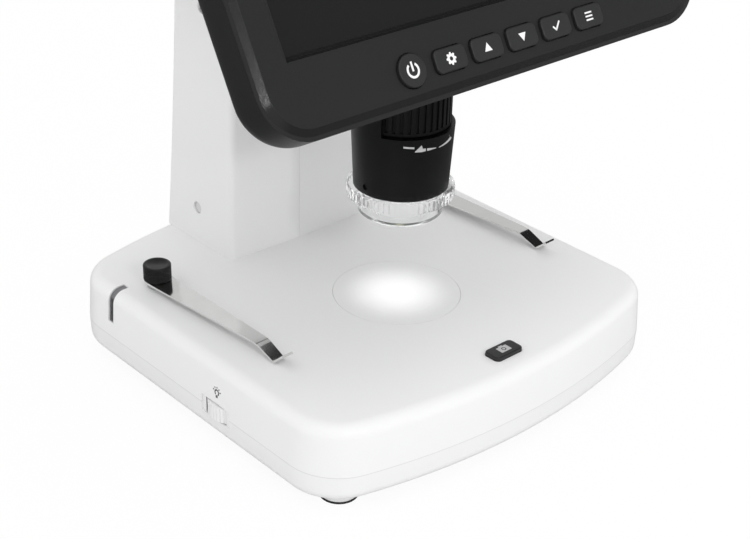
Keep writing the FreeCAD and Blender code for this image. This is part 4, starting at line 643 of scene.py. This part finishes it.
def sector(inner: object, outer: object, start: float = 0.0, end: float = 360.0, steps: int = 48,
           centre: Pair = (0.0, 0.0)) -> Ribbon:
    """Two sides of a part ring between two radii, which may change with the angle in degrees."""
    closed = abs(end - start) >= 360.0
    angle = np.linspace(start, end, steps, endpoint=not closed)
    radians = np.radians(angle)
    unit = np.stack([np.cos(radians), np.sin(radians)], -1)
    radii = [side(angle) if callable(side) else np.full_like(angle, side) for side in (outer, inner)]
    middle = np.array(centre)
    return middle + unit * radii[0][:, None], middle + unit * radii[1][:, None], closed


def wedge(base_a: Pair, base_b: Pair, tip: Pair) -> Ribbon:
    """Two sides of a triangle that run from its base to its tip."""
    near_tip = 0.999
    point = np.array(tip, float)
    sides = [np.stack([base, base + (point - base) * near_tip]) for base in np.array([base_a, base_b], float)]
    return sides[0], sides[1], False


def sign(name: str, ribbons: list[Ribbon], ground: Sheet | Drum, finish: Finish, body: str,
         thickness: float = 0.04) -> None:
    """Make a printed sign of ribbons, each a closed thin solid on its ground.

    Args:
        name: the piece's name.
        ribbons: left side, right side and whether the ribbon closes on itself.
        ground: where the flat points lie.
        finish: the ink, or the plastic of a thicker piece.
        body: the body that the sign rides on.
        thickness: height over the ground, in millimetres.
    """
    all_points, all_faces, count = [], [], 0
    sunk = -0.02
    for left, right, closed in ribbons:
        rims = ((left, sunk), (left, thickness), (right, thickness), (right, sunk))
        points = np.stack([ground.lift(side, height) for side, height in rims], 1)
        rows = len(left)
        faces = grid_faces(rows, 4, closed, True)
        if not closed:
            ends = np.array([[0, 1, 2, 3], [4 * rows - 1, 4 * rows - 2, 4 * rows - 3, 4 * rows - 4]])
            faces = np.concatenate([faces, ends])
        all_points.append(points.reshape(-1, 3))
        all_faces.append(faces + count)
        count += 4 * rows
    piece = new_piece(name, np.concatenate(all_points), np.concatenate(all_faces), finish)
    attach(piece, body)
    LOG.info("%s: %s", name, finish.value.name)


def stand_in(piece: bpy.types.Object, node: str) -> None:
    """Let a piece ride with a solid piece and stand for it."""
    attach(piece, frame["nodes"][node]["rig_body"])
    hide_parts(node)
    LOG.info("%s stands for %s", piece.name, node)


def smooth_copy(node: str, finish: Finish, angle: float = 30.0, reshape: Reshape | None = None) -> None:
    """Make a merged, smoothly shaded copy of a solid piece, which stands for it.

    Args:
        node: the solid piece's name.
        finish: its finish.
        angle: edges bent by less than this many degrees are shaded smooth.
        reshape: moves the copy's points, given and returned in millimetres.
    """
    mesh = frame["nodes"][node].data.copy()
    mesh.name = f"{node}_skin"
    mesh.materials.clear()
    mesh.materials.append(material(finish))
    join_up(mesh, SOLID_GAP, False)
    if reshape is not None:
        points = np.empty(3 * len(mesh.vertices))
        mesh.vertices.foreach_get("co", points)
        mesh.vertices.foreach_set("co", (reshape(points.reshape(-1, 3) / MM) * MM).ravel())
    shade(mesh, angle)
    stand_in(put(f"{node}_skin", mesh), node)


def dress(finish: Finish, *names: str) -> None:
    """Give solid pieces a finish as they are."""
    for name in names:
        mesh = frame["nodes"][name].data
        mesh.materials.clear()
        mesh.materials.append(material(finish))
        LOG.info("%s: %s", name, finish.value.name)


@dataclass
class Base:
    """Base housing with its stage, feet, button, wheel and edge strip."""

    half_width: float = 76.0
    draft: float = 4.0
    seam: float = 13.5
    lamp_sign: Pair = (-15.4, 20.3)
    wheel_y: float = -14.7
    wheel_radius: float = 8.5
    wheel_window: float = 7.2
    window_low: float = 10.3
    window_high: float = 16.5
    guard_face: float = -75.45
    guard_wall: float = 2.2
    guard_least: float = 0.15
    guard_end: float = 3.2
    guard_gap: float = 0.06
    wheel_gap: float = 0.3
    wheel_proud: float = 0.8
    button_top: float = 31.8
    button_y: float = -67.0
    foot_place: Pair = (61.5, 58.5)
    foot_reach: float = 7.6
    foot_scale: float = 0.88

    def build(self) -> None:
        """Dress the base and print its signs."""
        smooth_copy("base_upper_shell", Finish.SEAMED)
        smooth_copy("base_lower_shell", Finish.SEAMED, 30.0, self.slim_feet)
        smooth_copy("brightness_wheel", Finish.WHITE)
        smooth_copy("edge_strip", Finish.STRIP)
        smooth_copy("foot_pads", Finish.RUBBER, 30.0, self.slim_feet)
        smooth_copy("shutter_button", Finish.KEYS)
        dress(Finish.WINDOW, "stage_diffuser")
        dress(Finish.INNER_WHITE, "light_well")
        dress(Finish.BOARD, "stage_led_board", "control_board")
        dress(Finish.LAMP, "stage_leds")
        dress(Finish.ELECTRIC, "shutter_switch", "brightness_pot", "power_inlet")
        dress(Finish.WRAP, "battery_pack")
        dress(Finish.STEEL, "base_screws", "clip_posts")
        self.guard_wheel()
        self.print_lamp_sign()
        self.print_camera_sign()

    def slim_feet(self, points: np.ndarray) -> np.ndarray:
        """Bring the four feet in round their centres to the photographed width."""
        centre = np.sign(points[:, :2]) * np.array(self.foot_place)
        off = points[:, :2] - centre
        near = np.linalg.norm(off, axis=1) < self.foot_reach
        moved = points.copy()
        moved[near, :2] = (centre + off * self.foot_scale)[near]
        return moved

    def guard_wheel(self) -> None:
        """Fill the window beside the wheel with two white guards, each hollowed round the wheel.

        Seen from above, a guard lies between the flat x = face and the circle of the wheel and its clearance,
        x = centre - sqrt(R^2 - (y - wheel)^2), but is never thicker than the wall.
        """
        reach = self.wheel_radius + self.wheel_gap
        centre_x = self.wheel_radius - self.half_width - self.wheel_proud
        for name, way in (("front", -1), ("rear", 1)):
            off = np.linspace(self.wheel_window - self.guard_gap, self.guard_end, 24)
            back = np.minimum(centre_x - np.sqrt(reach**2 - off**2), self.guard_face + self.guard_wall)
            thick = back > self.guard_face + self.guard_least
            off, back = off[thick], back[thick]
            along = self.wheel_y + way * off
            outer = np.stack([np.full_like(off, self.guard_face), along], -1)
            inner = np.stack([back, along], -1)
            ground = level_sheet(0.0, 0.0, self.window_low + self.guard_gap)
            height = self.window_high - self.window_low - 2 * self.guard_gap
            sign(f"wheel_guard_{name}", [(outer, inner, False)], ground, Finish.WHITE, "root", height)

    def side_sheet(self, y: float, z: float) -> Sheet:
        """Flat place on the leaning left side."""
        lean = math.radians(self.draft)
        x = -self.half_width + (z - self.seam) * math.tan(lean)
        return Sheet((x, y, z), (0.0, -1.0, 0.0), (math.sin(lean), 0.0, math.cos(lean)))

    def print_lamp_sign(self) -> None:
        """Generic sign for a lamp: a bulb outline with its cap and rays."""
        line, middle = 0.36, np.array([0.0, 0.25])
        bulb = sector(0.72, 1.15, -55, 235, 24, tuple(middle))
        cap = [bar((-0.5, y), (0.5, y), line) for y in (-0.9, -1.4)]
        turns = [math.radians(angle) for angle in (20, 55, 90, 125, 160)]
        units = [np.array([math.cos(turn), math.sin(turn)]) for turn in turns]
        rays = [bar(unit * 1.5 + middle, unit * 2.1 + middle, line) for unit in units]
        sign("lamp_sign", [bulb, *cap, *rays], self.side_sheet(*self.lamp_sign), Finish.DARK_INK, "root")

    def print_camera_sign(self) -> None:
        """Generic sign for a photo: a camera body with a round lens."""
        ground = level_sheet(0.0, self.button_y, self.button_top)

        def body_edge(angle: np.ndarray) -> np.ndarray:
            """Distance to the edge of a 4.4 by 3 box at an angle."""
            turn = np.radians(angle)
            across, along = np.maximum(abs(np.cos(turn)), TINY), np.maximum(abs(np.sin(turn)), TINY)
            return np.minimum(2.2 / across, 1.5 / along)

        case = sector(0.85, body_edge, steps=72)
        hump = bar((-0.8, 1.7), (0.8, 1.7), 0.5)
        dot = sector(0.001, 0.5, steps=24)
        sign("camera_sign", [case, hump, dot], ground, Finish.GREY_INK, "shutter_button")


@dataclass
class Clips:
    """Two polished spring clips and their diamond-knurled thumb screws."""

    line: tuple[Pair, ...] = ((-4.74, 2.3), (6.0, 2.3), (56.0, 3.5), (64.2, 0.4), (68.4, 4.4))
    bends: tuple[float, ...] = (40.0, 9.0, 0.9)
    stage: float = 30.5
    thickness: float = 0.7
    chamfer: float = 0.1
    wide: float = 4.75
    narrow: float = 2.25
    taper_end: float = 64.0
    heel_least: float = 0.1
    left_turn: float = 1.1
    right_turn: float = 1.7
    across: float = 60.0
    pivot_y: float = 38.5
    radius: float = 4.8
    low: float = 33.2
    high: float = 38.8
    edge: float = 0.5
    dish_in: Pair = (1.3, 1.6)
    dish_depth: Pair = (0.25, 0.3)
    pole: float = 0.01
    knurl_count: int = 34
    knurl_depth: float = 0.28
    knurl_rows: int = 40

    def build(self) -> None:
        """Bend the clips and turn the knurled heads."""
        for name, way, turn in (("left", -1, self.left_turn), ("right", 1, self.right_turn)):
            self.bend_strip(name, way * self.across, turn)
            self.turn_head(name, way * self.across)

    def bend_strip(self, name: str, x: float, turn: float) -> None:
        """Bend a tapered strip along its side line, with a round heel about the screw.

        A point is the line's point + t (thickness) square to the line + w (width) across it, turned about
        the screw.
        """
        line = rounded_line(self.line, self.bends)
        reach, height = line[:, 0], line[:, 1]
        slope = np.gradient(line, axis=0)
        slope /= np.linalg.norm(slope, axis=1)[:, None]
        taper = self.wide + (self.narrow - self.wide) * np.clip(reach / self.taper_end, 0, 1)
        half = np.where(reach < 0, np.sqrt(np.maximum(self.wide**2 - reach**2, self.heel_least**2)), taper)
        edge, thick = self.chamfer, self.thickness / 2
        across = np.array([1, 1, -1, -1, -1, -1, 1, 1])
        inset = np.array([0, edge, edge, 0, 0, edge, edge, 0])
        up = np.array([thick - edge, thick, thick, thick - edge, edge - thick, -thick, -thick, edge - thick])
        side = across * (half[:, None] - inset)
        out = reach[:, None] - slope[:, 1:] * up
        rise = height[:, None] + slope[:, :1] * up
        angle = math.radians(turn)
        east = x + out * math.sin(angle) + side * math.cos(angle)
        north = self.pivot_y - out * math.cos(angle) + side * math.sin(angle)
        points = np.stack([east, north, self.stage + rise], -1).reshape(-1, 3)
        faces = grid_faces(len(line), 8, False, True)
        ends = np.array([[0, 1, 2, 3], [0, 3, 4, 7], [4, 5, 6, 7]])
        faces = np.concatenate([faces, ends[:, ::-1], ends + 8 * (len(line) - 1)])
        stand_in(new_piece(f"clip_strip_{name}", points, faces, Finish.MIRROR_STEEL, 40.0), f"clip_{name}")

    def turn_head(self, name: str, x: float) -> None:
        """Turn a head whose radius falls along two families of crossing helical grooves.

        The groove depth is d (1 - min(w1, w2))^2 on the side, where w1 and w2 are triangle waves from 0 to 1
        along n a + k z and n a - k z.
        """
        edge, rows, steps = self.edge, self.knurl_rows, 8 * self.knurl_count
        rim, low, high = self.radius - edge, self.low, self.high
        rounds = np.linspace(0, np.pi / 2, 5)
        top = np.stack([rim + edge * np.cos(rounds), high - edge + edge * np.sin(rounds)], -1)
        foot = np.stack([rim + edge * np.sin(rounds), low + edge - edge * np.cos(rounds)], -1)
        wall = np.stack([np.full(rows, self.radius), np.linspace(low + edge, high - edge, rows)], -1)
        lip, step = (self.radius - inward for inward in self.dish_in)
        slope, bottom = (high - depth for depth in self.dish_depth)
        dish = np.array([(lip, high), (step, slope), (self.pole, bottom), (self.pole, low), (rim, low)])
        profile = np.concatenate([foot, wall, top, dish])
        angle = np.linspace(0, 2 * np.pi, steps, endpoint=False)[:, None]
        pitch = 2 * np.pi * self.radius / self.knurl_count
        phase = 2 * np.pi * (profile[None, :, 1] - low) / pitch
        turns = [(self.knurl_count * angle + way * phase) / 2 for way in (1, -1)]
        waves = [abs(np.arcsin(np.sin(turn))) / (np.pi / 2) for turn in turns]
        on_wall = np.zeros(len(profile))
        on_wall[len(foot):len(foot) + rows] = 1
        depth = -self.knurl_depth * (1 - np.minimum(*waves)) ** 2 * on_wall[None, :]
        points, faces = turned(profile, (x, self.pivot_y), steps, depth)
        stand_in(new_piece(f"thumb_head_{name}", points, faces, Finish.KNOB, 50.0), f"thumb_screw_{name}")


@dataclass
class Column:
    """Column with its screws and the focus drive."""

    rear_from: float = 66.0
    foot: float = 30.5
    rear_shift: float = 1.9
    rear_growth: float = 0.014

    def lean_back(self, points: np.ndarray) -> np.ndarray:
        """Move the rear wall back, more so higher up: y grows by shift + growth (z - foot)."""
        moved = points.copy()
        rear = points[:, 1] > self.rear_from
        moved[rear, 1] += self.rear_shift + self.rear_growth * (points[rear, 2] - self.foot)
        return moved

    def build(self) -> None:
        """Dress the column and what it holds."""
        for side in ("left", "right"):
            smooth_copy(f"column_shell_{side}", Finish.WHITE, 20.0, self.lean_back)
        for side in ("left", "right"):
            smooth_copy(f"focus_knob_{side}", Finish.KNOB)
        dress(Finish.PAINTED_STEEL, "column_joining_screws")
        dress(Finish.STEEL, "column_foot_screws", "guide_rods", "focus_shaft")
        dress(Finish.BRASS, "shaft_bushes", "focus_pinion")
        dress(Finish.RACK, "focus_rack")
        dress(Finish.CAST, "focus_carriage")


@dataclass
class Head:
    """Head with the camera tube, its focus ring and clear nose."""

    drum: Drum = Drum((0.0, -16.5), 15.7, 71.9, 16.9, 94.0)
    mark_turn: float = 2.0
    collar_low: float = 73.0
    collar_drop: float = 1.3

    def build(self) -> None:
        """Dress the head and print the marks of the focus direction."""
        smooth_copy("head_housing", Finish.WHITE)
        dress(Finish.WHITE, "head_floor")
        smooth_copy("tube_housing", Finish.TUBE)
        smooth_copy("focus_ring", Finish.TUBE)
        smooth_copy("clear_nose", Finish.CLEAR, 30.0, self.lower_collar)
        dress(Finish.TUBE, "lens_barrel")
        dress(Finish.LENS, "objective_lens")
        dress(Finish.BOARD, "camera_board", "ring_led_board")
        dress(Finish.LAMP, "ring_leds")
        dress(Finish.KNOB, "tube_set_screw")
        dress(Finish.STEEL, "head_screws", "head_hinge_bracket", "display_hinge_bracket", "hinge_pin")
        self.print_marks()

    def lower_collar(self, points: np.ndarray) -> np.ndarray:
        """Bring the top of the clear collar down, so that more of the tube shows."""
        moved = points.copy()
        moved[moved[:, 2] > self.collar_low, 2] -= self.collar_drop
        return moved

    def print_marks(self) -> None:
        """A dash, and two half arrows that point apart round the tube, in angle and height."""
        dash = bar((-134.2, 91.7), (-122.4, 91.4), 0.62, 6)
        left_top = np.array([(-121.6, 90.1), (-114.2, 92.2), (-112.8, 90.95), (-104.0, 90.75), (-95.9, 90.4)])
        left_low = np.array([(-121.4, 89.9), (-114.2, 89.8), (-112.8, 89.85), (-104.0, 90.0), (-95.9, 90.15)])
        right_top = np.array([(-91.6, 90.25), (-84.0, 90.7), (-77.0, 91.2), (-71.5, 91.8), (-67.4, 91.2)])
        right_low = np.array([(-91.6, 90.0), (-84.0, 90.1), (-77.0, 90.3), (-71.5, 90.55), (-67.6, 90.85)])
        barb = wedge((-68.2, 90.9), (-71.4, 91.7), (-74.6, 92.9))
        shapes = [dash, (left_top, left_low, False), (right_top, right_low, False), barb]
        turn = np.array([self.mark_turn, 0.0])
        ribbons = [(first + turn, second + turn, closed) for first, second, closed in shapes]
        sign("focus_marks", ribbons, self.drum, Finish.MARK_INK, "head")


@dataclass
class Display:
    """Display housing with its screen, keys and their signs, drawn in the plane of its face."""

    lean: float = 30.0
    origin: Place = (0.0, -64.8, 124.5)
    key_row: float = 10.1
    key_rise: float = 1.0
    key_first: float = -23.8
    key_pitch: float = 14.56
    key_count: int = 5
    key_shift: float = -0.45
    key_trim: Pair = (0.2, 0.5)
    power_u: float = -38.9
    half_width: float = 90.25
    height: float = 122.5
    corner_old: float = 25.5
    corner_left: float = 15.0
    corner_right: float = 21.0
    wall_inset: float = 9.5
    touch: float = 0.001
    sill: float = 21.5
    sill_band: float = 0.3
    sill_half: float = 79.0
    sill_drop: float = 1.35
    glass_depth: float = 1.0
    hole_half: Pair = (7.2, 4.9)

    def build(self) -> None:
        """Dress the display and print the signs on its keys."""
        smooth_copy("display_bezel", Finish.BLACK, 20.0, self.trim_bezel)
        smooth_copy("display_rear_cover", Finish.BLACK, 20.0, self.tighten_corners)
        dress(Finish.SCREEN, "display_panel")
        dress(Finish.BOARD, "display_board", "keypad_board")
        dress(Finish.STEEL, "cover_screws")
        signs = {
            "settings_key": self.gear_sign(),
            "up_key": [wedge((-1.5, -1.1), (1.5, -1.1), (0.0, 1.4))],
            "down_key": [wedge((1.5, 1.1), (-1.5, 1.1), (0.0, -1.4))],
            "confirm_key": [bar((-1.5, 0.1), (-0.4, -1.1), 0.55), bar((-0.55, -1.15), (1.6, 1.3), 0.55)],
            "menu_key": [bar((-1.5, v), (1.5, v), 0.5) for v in (-1.1, 0.0, 1.1)],
        }
        for i, (key, ribbons) in enumerate(signs.items()):
            self.dress_key(key, self.key_place(i), ribbons)
        power = [sector(1.62, 2.3, 125, 415, 40), bar((0.0, -0.3), (0.0, 2.5), 0.66)]
        self.dress_key("power_key", self.power_u, power)

    def axes(self) -> np.ndarray:
        """Rows: right, up and outward directions of the display's face."""
        lean = math.radians(self.lean)
        sine, cosine = math.sin(lean), math.cos(lean)
        return np.array([[1.0, 0.0, 0.0], [0.0, sine, cosine], [0.0, -cosine, sine]])

    def to_face(self, points: np.ndarray) -> np.ndarray:
        """Carry points to the face's own right, up and outward distances."""
        return (points - np.array(self.origin)) @ self.axes().T

    def from_face(self, flat: np.ndarray) -> np.ndarray:
        """Carry distances in the face's own directions back to points."""
        return flat @ self.axes() + np.array(self.origin)

    def tighten_corners(self, points: np.ndarray) -> np.ndarray:
        """Swing points near each corner from the solid's corner radius to the photographed one.

        A point that lies at an inset d from the outline keeps d: it goes to c + (r - d) (cos a, sin a), where
        a is its angle about the old corner's centre and c the new corner's centre.
        """
        flat, old, half = self.to_face(points), self.corner_old, self.height / 2
        new = np.where(flat[:, 0] < 0, self.corner_left, self.corner_right)
        side, rise = np.abs(flat[:, 0]), np.abs(flat[:, 1] - half)
        off = np.stack([side - (self.half_width - old), rise - (half - old)], -1)
        distance = np.linalg.norm(off, axis=1)
        inset = old - distance
        near = (off >= -self.touch).all(1) & (inset < self.wall_inset)
        fresh = off / np.maximum(distance, TINY)[:, None] * (new - inset)[:, None]
        spot = fresh + np.stack([self.half_width - new, half - new], -1)
        flat[near, 0] = (np.sign(flat[:, 0]) * spot[:, 0])[near]
        flat[near, 1] = (half + np.sign(flat[:, 1] - half) * spot[:, 1])[near]
        return self.from_face(flat)

    def trim_bezel(self, points: np.ndarray) -> np.ndarray:
        """Tighten the corners, lower the window's sill and bring the key holes close round the keys."""
        flat = self.to_face(self.tighten_corners(points))
        sill = (np.abs(flat[:, 1] - self.sill) < self.sill_band) & (np.abs(flat[:, 0]) < self.sill_half)
        flat[sill & (flat[:, 2] < -self.glass_depth), 1] -= self.sill_drop
        for i in range(self.key_count):
            off = np.abs(flat[:, :2] - (self.key_place(i), self.key_row))
            hole = (off < self.hole_half).all(1)
            flat[hole] = self.shrink(flat[hole], self.key_place(i))
        return self.from_face(flat)

    def key_place(self, i: int) -> float:
        """Place of an oblong key along the row."""
        return self.key_first + i * self.key_pitch

    def shrink(self, flat: np.ndarray, u: float) -> np.ndarray:
        """Bring the outline of an oblong key or its hole in on each side and move it a little."""
        off = flat[:, :2] - (u, self.key_row)
        moved = flat.copy()
        trimmed = off - np.sign(off) * np.minimum(self.key_trim, np.abs(off))
        moved[:, :2] = trimmed + (u + self.key_shift, self.key_row)
        return moved

    def dress_key(self, key: str, u: float, ribbons: list[Ribbon]) -> None:
        """Dress one key and print its sign."""

        def reshape(points: np.ndarray) -> np.ndarray:
            """Bring an oblong key to its photographed size."""
            return self.from_face(self.shrink(self.to_face(points), u))

        oblong = key != "power_key"
        smooth_copy(key, Finish.KEYS, reshape=reshape if oblong else None)
        shift = self.key_shift if oblong else 0.0
        sign(f"{key}_sign", ribbons, self.face_sheet(u + shift, self.key_row), Finish.PALE_INK, key)

    def face_sheet(self, u: float, v: float) -> Sheet:
        """Flat place on the top of a key."""
        right, up, _ = self.axes()
        return Sheet(tuple(self.from_face(np.array([u, v, self.key_rise]))), tuple(right), tuple(up))

    @staticmethod
    def gear_sign() -> list[Ribbon]:
        """A gear wheel: eight teeth round a ring."""

        def rim(angle: np.ndarray) -> np.ndarray:
            """Outer radius with eight steep-sided teeth."""
            return 1.65 + 0.42 * np.clip(2 * np.cos(np.radians(8 * angle)), -0.5, 0.5)

        return [sector(0.62, rim, steps=96)]


@dataclass
class Studio:
    """White floor and world, soft lamps and the camera."""

    image_width: int = 750
    focal_pixels: float = 1516.579
    sensor_width: float = 36.0
    yaw: float = 42.655
    pitch: float = 28.734
    roll: float = -1.680
    camera_place: Place = (-310.486, -342.280, 285.562)
    diffuse_level: float = 0.98
    glossy_level: float = 0.65
    floor_half: float = 3.0
    floor_share: float = 0.93
    floor_gloss: float = 0.2
    aim: Place = (0.0, -0.02, 0.09)
    lamps: tuple[tuple[str, Place, float, float, float], ...] = (
        ("top_lamp", (-0.1, -0.5, 1.3), 1.2, 1.2, 3.0),
        ("strip_lamp", (-0.31, -1.13, 0.70), 0.085, 0.085, 1.85),
    )
    flag_place: Place = (0.72, -0.08, 0.91)
    flag_half: Pair = (0.55, 0.6)
    flag_level: float = 0.02

    def build(self) -> None:
        """Set up the studio."""
        self.place_camera()
        self.lay_floor()
        self.light_world()
        self.hang_lamps()
        self.stand_flag()
        bpy.context.scene.view_settings.view_transform = "Standard"

    def place_camera(self) -> None:
        """Place the camera that sees the object as the photograph does."""
        yaw, pitch, roll = (math.radians(angle) for angle in (self.yaw, self.pitch, self.roll))
        forward = Vector((math.sin(yaw) * math.cos(pitch), math.cos(yaw) * math.cos(pitch), -math.sin(pitch)))
        level = Vector((math.cos(yaw), -math.sin(yaw), 0.0))
        down = forward.cross(level)
        right = level * math.cos(roll) + down * math.sin(roll)
        lower = down * math.cos(roll) - level * math.sin(roll)
        data = bpy.data.cameras.new("camera")
        data.sensor_width = self.sensor_width
        data.lens = self.focal_pixels * self.sensor_width / self.image_width
        camera = put("camera", data)
        turn = Matrix((right, -lower, -forward)).transposed()
        camera.matrix_world = Matrix.Translation(Vector(self.camera_place) * MM) @ turn.to_4x4()
        bpy.context.scene.camera = camera

    def stand_card(self, half: Pair, centre: Vector, facing: Matrix, graph: Graph) -> None:
        """Add a flat card to the studio.

        Args:
            half: half of its width and height, in metres.
            centre: its middle.
            facing: the turn that carries its flat plane into place.
            graph: its material, which also names it.
        """
        ways = ((-1, -1), (1, -1), (1, 1), (-1, 1))
        flat = [Vector((across * half[0], along * half[1], 0)) for across, along in ways]
        corners = [centre + facing @ corner for corner in flat]
        mesh = bpy.data.meshes.new(graph.owner.name)
        mesh.from_pydata(corners, [], [(0, 1, 2, 3)])
        mesh.materials.append(graph.owner)
        put(mesh.name, mesh)

    def lay_floor(self) -> None:
        """Lay a wide floor: white to the eye with a faint shadow, and dim in reflections."""
        graph = Graph("floor")
        paper = graph.add("ShaderNodeBsdfDiffuse", {}, {"Color": (*grey(0.9), 1.0)}).outputs[0]
        direct = graph.ray("Camera") + graph.ray("Transmission")
        seen = graph.blend(direct * self.floor_share, paper, graph.glow(1.0))
        graph.show(graph.blend(graph.ray("Glossy"), seen, graph.glow(self.floor_gloss)))
        self.stand_card((self.floor_half, self.floor_half), Vector((0, 0, 0)), Matrix.Identity(3), graph)

    def light_world(self) -> None:
        """Light all round softly: white to the eye and through clear pieces, dimmer in reflections."""
        graph = Graph("white_room", is_world=True)
        bpy.context.scene.world = graph.owner
        kind = "ShaderNodeBackground"
        shown = graph.glow(self.diffuse_level, kind)
        for ray, level in (("Glossy", self.glossy_level), ("Transmission", 1.0), ("Camera", 1.0)):
            shown = graph.blend(graph.ray(ray), shown, graph.glow(level, kind))
        graph.show(shown)

    def hang_lamps(self) -> None:
        """Hang the soft lamps, each aimed at the middle of the microscope."""
        for name, place, width, height, power in self.lamps:
            data = bpy.data.lights.new(name, "AREA")
            data.shape = "RECTANGLE"
            data.size = width
            data.size_y = height
            data.energy = power
            turn = (Vector(self.aim) - Vector(place)).to_track_quat("-Z", "Y").to_matrix()
            put(name, data).matrix_world = Matrix.Translation(place) @ turn.to_4x4()

    def stand_flag(self) -> None:
        """Stand a black card at the right, which only reflections see."""
        graph = Graph("flag")
        clear = graph.add("ShaderNodeBsdfTransparent", {}, {}).outputs[0]
        graph.show(graph.blend(graph.ray("Glossy"), clear, graph.glow(self.flag_level)))
        centre = Vector(self.flag_place)
        facing = (Vector(self.aim) - centre).to_track_quat("Z", "Y").to_matrix()
        self.stand_card(self.flag_half, centre, facing, graph)


def main() -> None:
    """Build every sub-assembly and the studio."""
    logging.basicConfig(level=logging.INFO, format="%(name)s: %(message)s")
    for part in (Studio(), Base(), Clips(), Column(), Head(), Display()):
        part.build()
        LOG.info("built %s", type(part).__name__)


if __name__ == "__main__":
    main()
